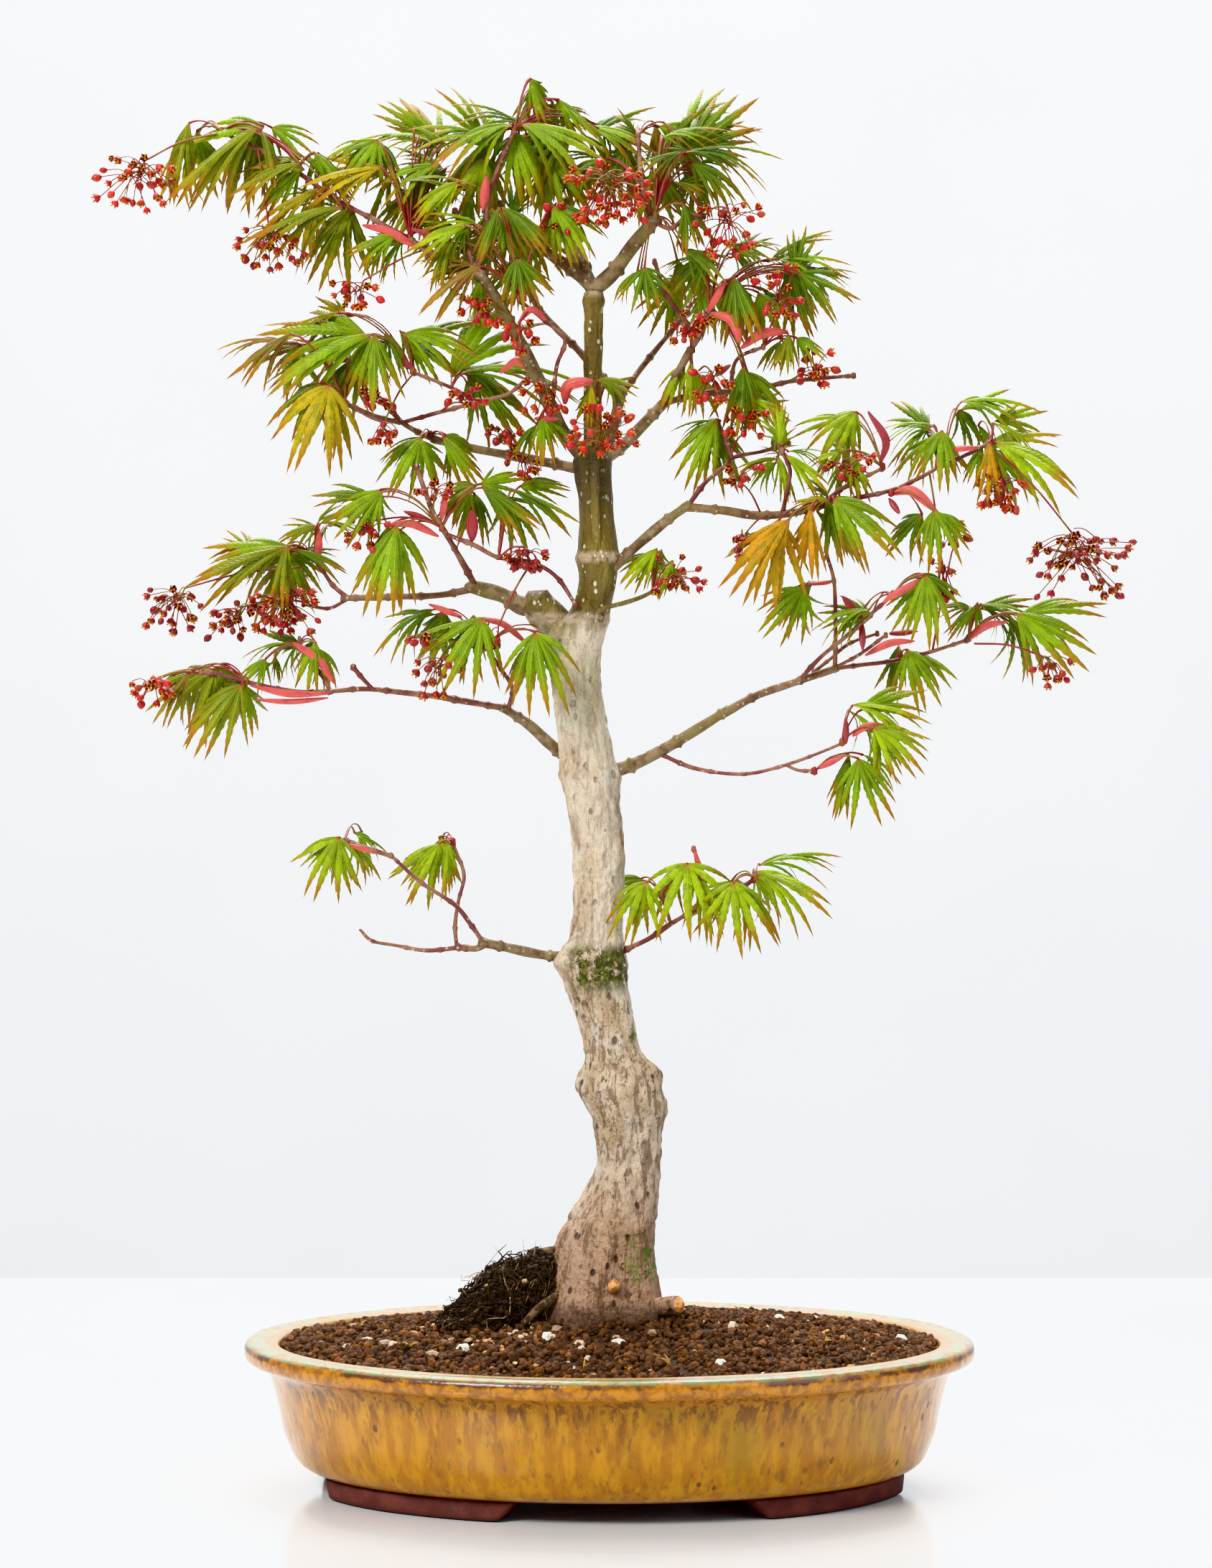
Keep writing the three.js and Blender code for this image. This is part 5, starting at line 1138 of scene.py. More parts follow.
def rootlet_shapes():
    """Fine roots over the core: each wanders over an egg, and a few stand off at the end."""
    rng = np.random.default_rng(83)
    shapes = []
    for k in range(760):
        mound = MOUNDS[k % 3]
        turn = rng.uniform(0, 2 * math.pi) if k % 4 == 0 else rng.uniform(-3.0, -0.2)
        up = rng.uniform(0.1, 1.4)
        stray = k % 5 == 0
        points = []
        for step in range(5):
            lift = rng.uniform(0.80, 1.02) + (0.10 * step * rng.random() if stray else 0)
            points.append(on_mound(mound, np.array(up), np.array(turn), np.array(lift)))
            up += rng.normal(0.06, 0.18)
            turn += rng.normal(0, 0.26)
        colour = np.array([0.040, 0.024, 0.015]) * rng.uniform(0.3, 1.7)
        if rng.random() < 0.12:
            colour = np.array([0.36, 0.25, 0.15]) * rng.uniform(0.6, 1.2)
        thick = rng.uniform(0.13, 0.40) * MM
        shapes.append(tube(spot(points), [thick, thick * 1.1, thick * 0.5], 5, 11, colour))
    return shapes


def root_fork_shapes():
    """Thicker roots that leave the trunk's foot and run down into the mat and the soil."""
    shapes = []
    for points, first, last in [
        ([(-22, -2, 116), (-34, -6, 114), (-50, -10, 108), (-66, -12, 94), (-78, -14, 84)], 3.4, 1.2),
        ([(-24, -8, 106), (-38, -14, 104), (-54, -20, 98), (-70, -24, 84)], 2.6, 1.0),
        ([(-20, -14, 98), (-30, -24, 94), (-42, -30, 84)], 2.6, 1.4),
    ]:
        shapes.append(tube(spot(points), [first * MM, last * MM], 10, 40, (0.16, 0.10, 0.06), 0, 0.16, 7))
    return shapes


def crumb_shapes():
    """Crumbs of earth caught in the root mat, over its eggs and at its foot."""
    rng = np.random.default_rng(87)
    count = 330
    shapes = []
    for seed, mound in enumerate(MOUNDS):
        up, turn = rng.uniform(0.1, 1.6, count), rng.uniform(0, 2 * math.pi, count)
        seats = on_mound(mound, up, turn, rng.uniform(0.80, 1.0, count))
        colours = np.array([0.045, 0.024, 0.013]) * rng.uniform(0.4, 1.8, (count, 1))
        colours[::29] = (0.45, 0.32, 0.18)
        shapes.append(lumps(spot(seats), rng.uniform(0.7, 2.0, count) * MM, colours, 0.9, 88 + seed))
    return shapes


def screen_shape(node):
    """A drain screen: woven bars both ways, each bar a thin tube that waves over and under."""
    low, high = (np.array(corner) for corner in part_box(node))
    middle = (low + high) / 2
    half = (high[0] - low[0]) / 2 - 0.0004
    shapes = []
    for way in (0, 1):
        for k, offset in enumerate(np.linspace(-half, half, 13)):
            t = np.linspace(-half, half, 27)
            points = np.zeros((27, 3))
            points[:, way] = t
            points[:, 1 - way] = offset
            points[:, 2] = 0.00022 * np.cos(np.arange(27) * math.pi / 2 + k * math.pi + way * math.pi)
            shapes.append(tube(points + middle, [0.00028, 0.00028], 6, 40, (0.02, 0.02, 0.02)))
    return shapes


# ---- Materials ----


class Socket:
    """A socket in a material's tree, with arithmetic that adds the Math nodes for it."""

    def __init__(self, build, socket):
        self.build = build
        self.socket = socket

    def _with(self, operation, *values):
        return self.build.node("ShaderNodeMath", {"operation": operation}, dict(enumerate(values)))

    def __add__(self, other):
        return self._with("ADD", self, other)

    def __radd__(self, other):
        return self._with("ADD", other, self)

    def __sub__(self, other):
        return self._with("SUBTRACT", self, other)

    def __rsub__(self, other):
        return self._with("SUBTRACT", other, self)

    def __mul__(self, other):
        return self._with("MULTIPLY", self, other)

    def __rmul__(self, other):
        return self._with("MULTIPLY", other, self)

    def __abs__(self):
        return self._with("ABSOLUTE", self)

    def between(self, low, high):
        """0 at low, 1 at high, clamped, with a soft rise; low may be the higher number."""
        settings = {"interpolation_type": "SMOOTHSTEP", "clamp": True}
        return self.build.node("ShaderNodeMapRange", settings,
                               {"Value": self, "From Min": low, "From Max": high})


class Finish:
    """One material: a Principled shader, with every node added by one method."""

    def __init__(self, name, roughness=0.5, **constants):
        self.material = bpy.data.materials.new(name)
        self.material.use_nodes = True
        self.tree = self.material.node_tree
        self.shader = self.tree.nodes["Principled BSDF"]
        self.shader.inputs["Roughness"].default_value = roughness
        for key, value in constants.items():
            self.shader.inputs[key.replace("_", " ")].default_value = value

    def node(self, kind, settings=None, inputs=None, output=0):
        """Adds a node: its settings first, then a value or a link for each named or numbered input."""
        added = self.tree.nodes.new(kind)
        for key, value in (settings or {}).items():
            setattr(added, key, value)
        for key, value in (inputs or {}).items():
            if isinstance(value, Socket):
                self.tree.links.new(value.socket, added.inputs[key])
            else:
                added.inputs[key].default_value = value
        return Socket(self, added.outputs[output])

    def place(self, stretch=(1, 1, 1)):
        """Object coordinates, in metres, each axis times a number."""
        raw = self.node("ShaderNodeTexCoord", output="Object")
        return self.node("ShaderNodeMapping", {}, {"Vector": raw, "Scale": stretch})

    def axis(self, name):
        """One of the three object coordinates, in metres."""
        raw = self.node("ShaderNodeTexCoord", output="Object")
        return self.node("ShaderNodeSeparateXYZ", {}, {0: raw}, "XYZ".index(name))

    def noise(self, size, stretch=(1, 1, 1), detail=4.0, roughness=0.55, distortion=0.0):
        """Fractal noise about 0.5, whose features are size metres across."""
        inputs = {"Vector": self.place(stretch), "Scale": 1 / size, "Detail": detail,
                  "Roughness": roughness, "Distortion": distortion}
        return self.node("ShaderNodeTexNoise", {}, inputs)

    def cells(self, size, stretch=(1, 1, 1)):
        """Distance to the nearest of scattered points, in cells size metres across."""
        inputs = {"Vector": self.place(stretch), "Scale": 1 / size}
        return self.node("ShaderNodeTexVoronoi", {"feature": "F1"}, inputs)

    def stored(self, name, part="Fac"):
        """A value or colour that the piece's own vertices carry."""
        return self.node("ShaderNodeAttribute", {"attribute_name": name}, {}, part)

    def blend(self, mask, first, second):
        """Colour first where mask is 0 and second where it is 1."""
        values = [(*c, 1) if isinstance(c, tuple) else c for c in (first, second)]
        settings = {"data_type": "RGBA", "blend_type": "MIX"}
        return self.node("ShaderNodeMix", settings, {0: mask, 6: values[0], 7: values[1]}, 2)

    def surface(self, colour, roughness=None, height=None, depth=0.0003):
        """Links the colour, roughness and height, as a bump depth metres deep, to the shader."""
        links = self.tree.links
        links.new(colour.socket, self.shader.inputs["Base Color"])
        if roughness is not None:
            links.new(roughness.socket, self.shader.inputs["Roughness"])
        if height is not None:
            bumped = self.node("ShaderNodeBump", {}, {"Height": height, "Distance": depth, "Strength": 1.0})
            links.new(bumped.socket, self.shader.inputs["Normal"])
        return self.material


def glaze_finish(sizes):
    """Amber glaze: olive and rust streaks that run down, dark specks, a broken rusty lip, a pale top,
    painted shade under the lip and painted shade deepening down inside the pot.
    """
    f = Finish("amber_glaze", 0.28, Coat_Weight=0.12, Coat_Roughness=0.1, IOR=1.45)
    z = f.axis("Z")
    streak = f.noise(0.006, (1, 1, 0.16), 5, 0.62)
    wide = f.noise(0.045, (1, 1, 0.35), 4, 0.6, 0.4)
    amber = f.blend(streak.between(0.40, 0.62), (0.35, 0.142, 0.010), tuple(sizes.glaze_colour))
    olive_mask = wide.between(0.54, 0.72) * 0.6
    body = f.blend(olive_mask, amber, (0.27, 0.165, 0.010))
    cloud = f.noise(0.03, (1, 1, 0.7), 6, 0.66, 0.8)
    rust_mask = cloud.between(0.50, 0.66) * f.noise(0.007, (1, 1, 0.25), 4, 0.7).between(0.45, 0.58) * 0.62
    body = f.blend(rust_mask, body, (0.17, 0.060, 0.016))
    fine = f.noise(0.0034, (1, 1, 0.22), 4, 0.65).between(0.56, 0.68) * 0.6
    body = f.blend(fine, body, (0.16, 0.075, 0.02))
    speck = 1 - f.cells(0.0085, (1, 1, 0.7)).between(0.12, 0.20)
    speck = speck * f.noise(0.02, detail=2).between(0.48, 0.6)
    body = f.blend(speck * 0.8, body, (0.055, 0.030, 0.014))
    # Painted shade: a darker amber band just under the lip's overhang, and below it darker streaks shaped
    # like drips, strongest at the lip and fading downwards.
    under = f.blend((z - RIM).between(-0.0155, -0.0120), body, (0.34, 0.14, 0.016))
    drip = f.noise(0.0042, (1, 1, 0.10), 4, 0.65, 0.3).between(0.50, 0.58)
    shade = (z - RIM).between(-0.038, -0.013) * drip * 0.8
    under = f.blend(shade, under, (0.13, 0.048, 0.012))
    band = (z - RIM).between(-0.0105, -0.0088)
    run = f.noise(0.006, (1, 1, 1), 5, 0.7, 0.5)
    rusty = f.blend(run.between(0.40, 0.62), (0.46, 0.19, 0.016), (0.24, 0.095, 0.018))
    lipped = f.blend(band, under, rusty)
    arris = abs(z - RIM + 0.0024 + 0.004 * (run - 0.5)).between(0.0022, 0.0008)
    broken = f.noise(0.028, detail=4, roughness=0.65).between(0.42, 0.54)
    lipped = f.blend(arris * broken * 0.92, lipped, (0.085, 0.035, 0.028))
    along = f.stored("along")
    top = (z - RIM).between(-0.0021, -0.0012) * along.between(0.36, 0.40)
    celadon = f.blend(f.noise(0.008, detail=5).between(0.45, 0.58), (0.17, 0.22, 0.10), (0.30, 0.22, 0.085))
    lines = f.noise(0.0065, (1, 1, 1), 5, 0.7, 0.8).between(0.50, 0.60)
    celadon = f.blend(lines * 0.85, celadon, (0.26, 0.10, 0.025))
    colour = f.blend(top, lipped, celadon)
    inner = along.between(0.525, 0.54)
    colour = f.blend(inner, colour, (0.46, 0.29, 0.12))
    # Painted shade: the inner wall darkens from just below the lip down into the pot.
    deep = (z - RIM).between(-0.002, -0.012) * inner
    colour = f.blend(deep, colour, (0.16, 0.07, 0.035))
    bare = (z - FOOT_TOP).between(0.0022, 0.0008)
    colour = f.blend(bare, colour, (0.16, 0.055, 0.03))
    rough = 0.16 + 0.16 * f.noise(0.012, detail=3) + speck * 0.15 + bare * 0.4
    height = f.noise(0.0042, (1, 1, 0.5), 4, 0.6) * 0.6 + f.noise(0.02, detail=2) * 0.8 - speck * 0.25
    return f.surface(colour, rough, height, 0.0007)


def bare_clay_finish():
    """Unglazed red-brown stoneware: dull, with sandy grit, and painted shade that darkens it towards the
    table.
    """
    f = Finish("bare_clay", 0.62)
    base = f.blend(f.noise(0.012, detail=5).between(0.35, 0.7), (0.085, 0.021, 0.018), (0.15, 0.042, 0.032))
    grit = 1 - f.cells(0.0014).between(0.12, 0.2)
    base = f.blend(grit * 0.5, base, (0.20, 0.09, 0.06))
    # Painted shade: each foot darkens towards the table it stands on.
    shade = f.axis("Z").between(0.0, 0.0035)
    base = f.blend(1 - shade, base, (0.055, 0.018, 0.015))
    rough = 0.5 + 0.25 * f.noise(0.004)
    return f.surface(base, rough, f.noise(0.0012, detail=6) + grit * 0.3, 0.0004)


def soil_finish(name, roughness):
    """Porous grains in the colour that each carries, with fine pits."""
    f = Finish(name, roughness)
    base = f.stored("tone", "Color")
    pits = f.noise(0.0007, detail=4, roughness=0.7)
    colour = f.blend(pits.between(0.5, 0.72), base, (0.02, 0.011, 0.007))
    return f.surface(colour, None, pits, 0.0004)


def stone_finish():
    """Pale grit: each stone's own colour, with faint bands and darker flecks."""
    f = Finish("pale_grit", 0.6)
    base = f.stored("tone", "Color")
    colour = f.blend(f.noise(0.0018, detail=4).between(0.55, 0.7) * 0.6, base, (0.22, 0.12, 0.06))
    return f.surface(colour, None, f.noise(0.0009), 0.0003)


def old_bark_finish(sizes):
    """Bark: pale tan with pink, pits and upright fissures below, an olive leader with pale dots above."""
    f = Finish("old_bark", 0.8)
    z = f.axis("Z")
    lift = SOIL_TOP - COLLAR * MM
    patch = f.noise(0.022, (1, 1, 0.6), 5, 0.62, 0.4)
    pale = f.blend(patch.between(0.38, 0.66), tuple(sizes.bark_colour), (0.44, 0.32, 0.20))
    grey = f.noise(0.013, (1, 1, 0.4), 5, 0.6).between(0.52, 0.68)
    pale = f.blend(grey * 0.7, pale, (0.62, 0.56, 0.48))
    pink = f.noise(0.017, (1, 1, 0.8), 4, 0.6).between(0.55, 0.7)
    pale = f.blend(pink * 0.6, pale, (0.42, 0.24, 0.17))
    low = (z - lift).between(0.175, 0.10)
    pale = f.blend(low * 0.7, pale, (0.37, 0.185, 0.105))
    fissure = f.noise(0.0046, (1, 1, 0.16), 6, 0.72).between(0.515, 0.575)
    pale = f.blend(fissure * 0.72, pale, (0.17, 0.095, 0.052))
    scale = f.noise(0.0034, (1, 1, 0.5), 6, 0.78).between(0.54, 0.59)
    pale = f.blend(scale * 0.65, pale, (0.12, 0.068, 0.038))
    pits = 1 - f.cells(0.0062, (1, 1, 0.6)).between(0.12, 0.26)
    pits = pits * f.noise(0.012, detail=3).between(0.45, 0.52)
    pale = f.blend(pits * 0.9, pale, (0.055, 0.034, 0.022))
    high = (z - lift).between(0.20, 0.30)
    pale = f.blend(high * patch.between(0.66, 0.40) * 0.55, pale, (0.66, 0.58, 0.45))
    ragged = f.noise(0.007, detail=6, roughness=0.75)
    zone = (z - lift).between(0.240, 0.250) * (z - lift).between(0.270, 0.262)
    algae = zone * ragged.between(0.44, 0.48) * f.axis("X").between(-0.026, -0.014)
    spread = (z - lift).between(0.175, 0.20) * (z - lift).between(0.262, 0.24)
    algae2 = spread * f.noise(0.0045, (1, 1, 0.5), 5, 0.7).between(0.58, 0.64)
    green = f.blend(f.noise(0.003, detail=3).between(0.45, 0.6), (0.045, 0.050, 0.010), (0.14, 0.14, 0.030))
    pale = f.blend(algae, pale, green)
    pale = f.blend(algae2 * 0.9, pale, green)
    upper_green = (z - lift).between(0.33, 0.42) * f.noise(0.02, (1, 1, 0.3), 4).between(0.5, 0.64) * 0.5
    pale = f.blend(upper_green, pale, (0.32, 0.30, 0.14))
    crack_green = (z - lift).between(0.100, 0.106) * (z - lift).between(0.128, 0.118)
    crack_green = crack_green * f.axis("X").between(0.006, 0.012) * ragged.between(0.46, 0.54)
    pale = f.blend(crack_green, pale, (0.16, 0.22, 0.05))
    edge = f.noise(0.006, (1, 1, 0.25), 3) * 0.028
    young = (z - lift + edge).between(0.432, 0.446)
    leader = f.blend(f.noise(0.010, (1, 1, 0.2), 5, 0.6).between(0.4, 0.62),
                     (0.12, 0.080, 0.018), (0.21, 0.155, 0.034))
    dots = 1 - f.cells(0.0040, (1, 1, 0.7)).between(0.18, 0.28)
    dots = dots * f.noise(0.018, detail=2).between(0.40, 0.47)
    leader = f.blend(dots * 0.95, leader, (0.70, 0.64, 0.48))
    dark = (z - lift).between(0.470, 0.500) * (z - lift).between(0.515, 0.508)
    leader = f.blend(dark * 0.75, leader, (0.07, 0.05, 0.025))
    colour = f.blend(young, pale, leader)
    for middle, reach in ((0.457, 0.004), (0.590, 0.006), (0.427, 0.004)):
        ring = (abs(z - lift - middle)).between(reach, reach * 0.3) * ragged.between(0.40, 0.52)
        colour = f.blend(ring * 0.8, colour, (0.50, 0.38, 0.26))
    # The bark grows darker at the foot of the trunk, just above the soil.
    near_trunk_darkening = (z - lift).between(0.096, 0.086)
    colour = f.blend(near_trunk_darkening * 0.75, colour, (0.05, 0.026, 0.02))
    height = (f.noise(0.0052, (1, 1, 0.14), 6, 0.68) * -1.4 + f.noise(0.0022, detail=5) * 0.9
              - pits * 0.7 + f.noise(0.007, detail=4) * 1.2 + dots * young * 0.5)
    rough = 0.82 - young * 0.28
    return f.surface(colour, rough, height, 0.0022)


def branch_finish():
    """Twigs: grey-brown bark on old wood, red-purple skin on young shoots, pale dots and ring scars."""
    f = Finish("branch_bark", 0.6)
    youth = f.node("ShaderNodeSeparateColor", {}, {0: f.stored("tone", "Color")}, 0)
    old = f.blend(f.noise(0.006, detail=5).between(0.38, 0.62), (0.105, 0.062, 0.028), (0.24, 0.165, 0.09))
    olive = f.noise(0.03, detail=3).between(0.5, 0.62) * 0.6
    old = f.blend(olive, old, (0.19, 0.15, 0.045))
    shoot = f.blend(f.noise(0.012, detail=4).between(0.42, 0.6), (0.15, 0.032, 0.028), (0.24, 0.11, 0.06))
    colour = f.blend(youth, old, shoot)
    dots = 1 - f.cells(0.0040).between(0.14, 0.22)
    colour = f.blend(dots * 0.6, colour, (0.55, 0.44, 0.30))
    dark = f.noise(0.0034, (1, 1, 1), 5, 0.7).between(0.60, 0.68)
    colour = f.blend(dark * 0.6, colour, (0.06, 0.035, 0.02))
    height = f.noise(0.0011, detail=5) + dots * 0.4 + f.noise(0.004) * 1.3
    return f.surface(colour, 0.72 - youth * 0.25, height, 0.0005)


def leaf_finish():
    """Leaf blade: each lobe's own green, a pale midrib, side veins, bronze tips and edges."""
    f = Finish("leaf_blade", 0.45, Subsurface_Weight=0.1, Specular_IOR_Level=0.3)
    f.shader.inputs["Subsurface Radius"].default_value = (0.002, 0.003, 0.0005)
    f.shader.inputs["Subsurface Scale"].default_value = 0.6
    across = f.stored("across")
    along = f.stored("along")
    base = f.stored("tone", "Color")
    mottled = f.blend(f.noise(0.006, detail=4).between(0.45, 0.62) * 0.45, base, (0.055, 0.10, 0.005))
    rib = abs(across).between(0.20, 0.04)
    ribbed = f.blend(rib * 0.55, mottled, (0.40, 0.46, 0.03))
    slant = f.node("ShaderNodeMath", {"operation": "SINE"}, {0: along * 120 - abs(across) * 7})
    ribbed = f.blend(slant.between(0.75, 1.0) * 0.22, ribbed, (0.36, 0.44, 0.03))
    edge = (abs(across) + f.noise(0.002) * 0.5).between(1.02, 1.4) * along.between(0.2, 0.6)
    bronze = f.blend(edge * 0.5, ribbed, (0.26, 0.075, 0.012))
    burnt = (along + f.noise(0.02, detail=2) * 0.8).between(0.98, 1.30)
    yellow = f.blend(along.between(0.45, 0.85) * 0.40, bronze, (0.42, 0.34, 0.015))
    colour = f.blend(burnt * 0.68, yellow, (0.34, 0.10, 0.012))
    heart = along.between(0.12, 0.02)
    colour = f.blend(heart * 0.6, colour, (0.45, 0.13, 0.06))
    height = rib * -0.8 + slant * 0.25 + f.noise(0.0012) * 0.3
    return f.surface(colour, None, height, 0.0003)


def shoot_finish():
    """Petioles, stalks and pedicels: thin skin, red above and greener in places."""
    f = Finish("red_shoot", 0.45)
    colour = f.blend(f.noise(0.014, detail=3).between(0.42, 0.62), (0.22, 0.018, 0.016), (0.20, 0.105, 0.02))
    return f.surface(colour, None, f.noise(0.0015), 0.0001)


def scale_finish():
    """Bud scales: salmon to maroon tissue with fine lengthwise veins, turning a dull red towards the tip."""
    f = Finish("bud_scale", 0.42, Sheen_Weight=0.15)
    base = f.stored("tone", "Color")
    across = f.stored("across")
    along = f.stored("along")
    veins = f.node("ShaderNodeMath", {"operation": "SINE"}, {0: across * 15}).between(0.4, 1.0)
    colour = f.blend(veins * 0.45, base, (0.62, 0.13, 0.09))
    colour = f.blend(f.noise(0.004, detail=4).between(0.45, 0.7) * 0.5, colour, (0.36, 0.03, 0.05))
    colour = f.blend(along.between(0.75, 1.0) * 0.5, colour, (0.34, 0.05, 0.05))
    return f.surface(colour, None, veins * 0.6 + f.noise(0.002), 0.0003)


def petal_finish():
    """Petals and buds: each flower's own crimson, with paler lips and painted shade that darkens the heart
    of each cup.
    """
    f = Finish("flower_petal", 0.38, Sheen_Weight=0.1)
    base = f.stored("tone", "Color")
    along = f.stored("along")
    colour = f.blend(f.noise(0.0012, detail=3).between(0.45, 0.7) * 0.3, base, (0.60, 0.055, 0.015))
    # Painted shade: each cup and bud darkens towards its stem end, deep in the cup.
    colour = f.blend(along.between(0.35, 0.0) * 0.4, colour, (0.12, 0.01, 0.015))
    return f.surface(colour, None, f.noise(0.0008), 0.00015)


def root_finish():
    """Fine roots in the colour that each carries, dusted with earth."""
    f = Finish("fine_root", 0.85)
    base = f.stored("tone", "Color")
    colour = f.blend(f.noise(0.003, detail=4).between(0.45, 0.60) * 0.85, base, (0.022, 0.013, 0.009))
    return f.surface(colour, None, f.noise(0.0008), 0.0003)


def cut_wood_finish():
    """Sawn wood on a stub: orange-tan heart with faint growth rings."""
    f = Finish("cut_wood", 0.7)
    rings = f.cells(0.0022, (1, 1, 1)).between(0.2, 0.6)
    colour = f.blend(rings, (0.50, 0.17, 0.04), (0.74, 0.38, 0.15))
    return f.surface(colour, None, rings, 0.0003)


def dark_cut_finish():
    """An old dark pruning face: grey-brown, cracked and weathered."""
    f = Finish("old_cut", 0.9)
    cracks = f.noise(0.0016, detail=6, roughness=0.7)
    colour = f.blend(cracks.between(0.42, 0.62), (0.035, 0.022, 0.015), (0.22, 0.16, 0.11))
    return f.surface(colour, None, cracks, 0.001)


def plastic_finish():
    """Drain screen plastic: black, with a dusting of earth."""
    f = Finish("screen_plastic", 0.55)
    dust = f.noise(0.004, detail=4).between(0.52, 0.7)
    colour = f.blend(dust * 0.5, (0.012, 0.012, 0.012), (0.10, 0.055, 0.03))
    return f.surface(colour, 0.4 + dust * 0.35, f.noise(0.001), 0.0001)


def wire_finish():
    """Clip wire: aluminium with fine scratches along it and dull spots."""
    f = Finish("clip_wire", 0.35, Metallic=1.0)
    scratch = f.noise(0.0006, (0.1, 1, 1), 3)
    colour = f.blend(scratch.between(0.4, 0.6), (0.48, 0.47, 0.45), (0.66, 0.65, 0.63))
    return f.surface(colour, 0.28 + scratch * 0.25, scratch, 0.00005)


def table_finish():
    """White lacquered table top: glossy, with a very faint cloudiness."""
    f = Finish("white_table", 0.12)
    cloud = f.noise(0.15, detail=3)
    colour = f.blend(cloud.between(0.35, 0.65), (0.80, 0.82, 0.84), (0.83, 0.84, 0.86))
    return f.surface(colour, 0.10 + cloud * 0.08)


def wall_finish():
    """Backdrop paper: plain, nearly white."""
    f = Finish("white_paper", 0.9)
    colour = f.blend(f.noise(0.4, detail=2).between(0.3, 0.7), (0.86, 0.87, 0.89), (0.88, 0.89, 0.90))
    return f.surface(colour)

# ---- Settings ----


class BonsaiSettings(bpy.types.PropertyGroup):
    """Sizes and colours that a user would change."""

    glaze_colour: bpy.props.FloatVectorProperty(
        name="Glaze", description="Main colour of the pot's glaze", subtype="COLOR", size=3,
        min=0, max=1, default=(0.47, 0.220, 0.012))
    bark_colour: bpy.props.FloatVectorProperty(
        name="Old bark", description="Main colour of the lower trunk", subtype="COLOR", size=3,
        min=0, max=1, default=(0.64, 0.52, 0.39))
    leaf_strength: bpy.props.FloatProperty(
        name="Leaf brightness", description="Multiplies the colour of every leaf",
        min=0.3, max=2.0, default=1.0, subtype="FACTOR")
    leaf_seed: bpy.props.IntProperty(
        name="Leaf variation", description="Seed for the curl and spread of the lobes", default=7)
    flower_seed: bpy.props.IntProperty(
        name="Flower variation", description="Seed for where the flowers hang", default=11)
    lens: bpy.props.FloatProperty(
        name="Lens", description="Focal length for a 36 mm tall sensor", unit="CAMERA",
        min=20, max=300, default=84.9)
    camera_distance: bpy.props.FloatProperty(
        name="Camera distance", description="From the trunk to the camera", unit="LENGTH",
        min=0.5, max=10, default=1.824)
    camera_height: bpy.props.FloatProperty(
        name="Camera height", description="Above the table", unit="LENGTH",
        min=0.05, max=3, default=0.345)


def settings():
    """The settings kept with the scene."""
    return bpy.context.scene.bonsai_settings


# ---- Operators ----


class BONSAI_OT_pot(bpy.types.Operator):
    """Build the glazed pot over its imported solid"""

    bl_idname = "bonsai.pot"
    bl_label = "Pot"

    def execute(self, context):
        make_piece("glazed_pot", [pot_shape()], [glaze_finish(settings())], ["pot"])
        return {"FINISHED"}


class BONSAI_OT_feet(bpy.types.Operator):
    """Build the four bare clay feet"""

    bl_idname = "bonsai.feet"
    bl_label = "Feet"

    def execute(self, context):
        clay = bare_clay_finish()
        angles = {"foot_front_right": 41.2, "foot_front_left": 138.8,
                  "foot_back_left": 221.2, "foot_back_right": 318.8}
        for node, angle in angles.items():
            make_piece("clay_" + node, [foot_shape(node, angle - 4.8)], [clay], [node])
        return {"FINISHED"}


class BONSAI_OT_drains(bpy.types.Operator):
    """Weave the two drain screens and finish the wire clips that hold them"""

    bl_idname = "bonsai.drains"
    bl_label = "Drain screens and clips"

    def execute(self, context):
        plastic = plastic_finish()
        wire = wire_finish()
        for side in ("left", "right"):
            node = "drain_screen_" + side
            make_piece("woven_screen_" + side, screen_shape(node), [plastic], [node])
            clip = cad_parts["screen_clip_" + side]
            clip.data.materials.clear()
            clip.data.materials.append(wire)
        return {"FINISHED"}


class BONSAI_OT_soil(bpy.types.Operator):
    """Lay the soil: its bed, the granules, the pale grit and scraps of green"""

    bl_idname = "bonsai.soil"
    bl_label = "Soil"

    def execute(self, context):
        grain = soil_finish("soil_grain", 0.9)
        make_piece("soil_bed", [soil_bed()], [grain], ["soil"])
        make_piece("soil_granules", granule_shapes(), [grain], flat=True, weld=False)
        make_piece("soil_grit", stone_shapes(), [grain, stone_finish()],
                   flat=True, weld=False)
        make_piece("soil_seedlings", seedling_shapes(), [grain, leaf_finish()])
        return {"FINISHED"}


class BONSAI_OT_roots(bpy.types.Operator):
    """Tangle the mat of fine roots against the trunk"""

    bl_idname = "bonsai.roots"
    bl_label = "Surface roots"

    def execute(self, context):
        root = root_finish()
        shapes = [*root_core(), *rootlet_shapes(), *root_fork_shapes(), *crumb_shapes()]
        make_piece("root_mat", shapes, [root], ["surface_roots"])
        return {"FINISHED"}


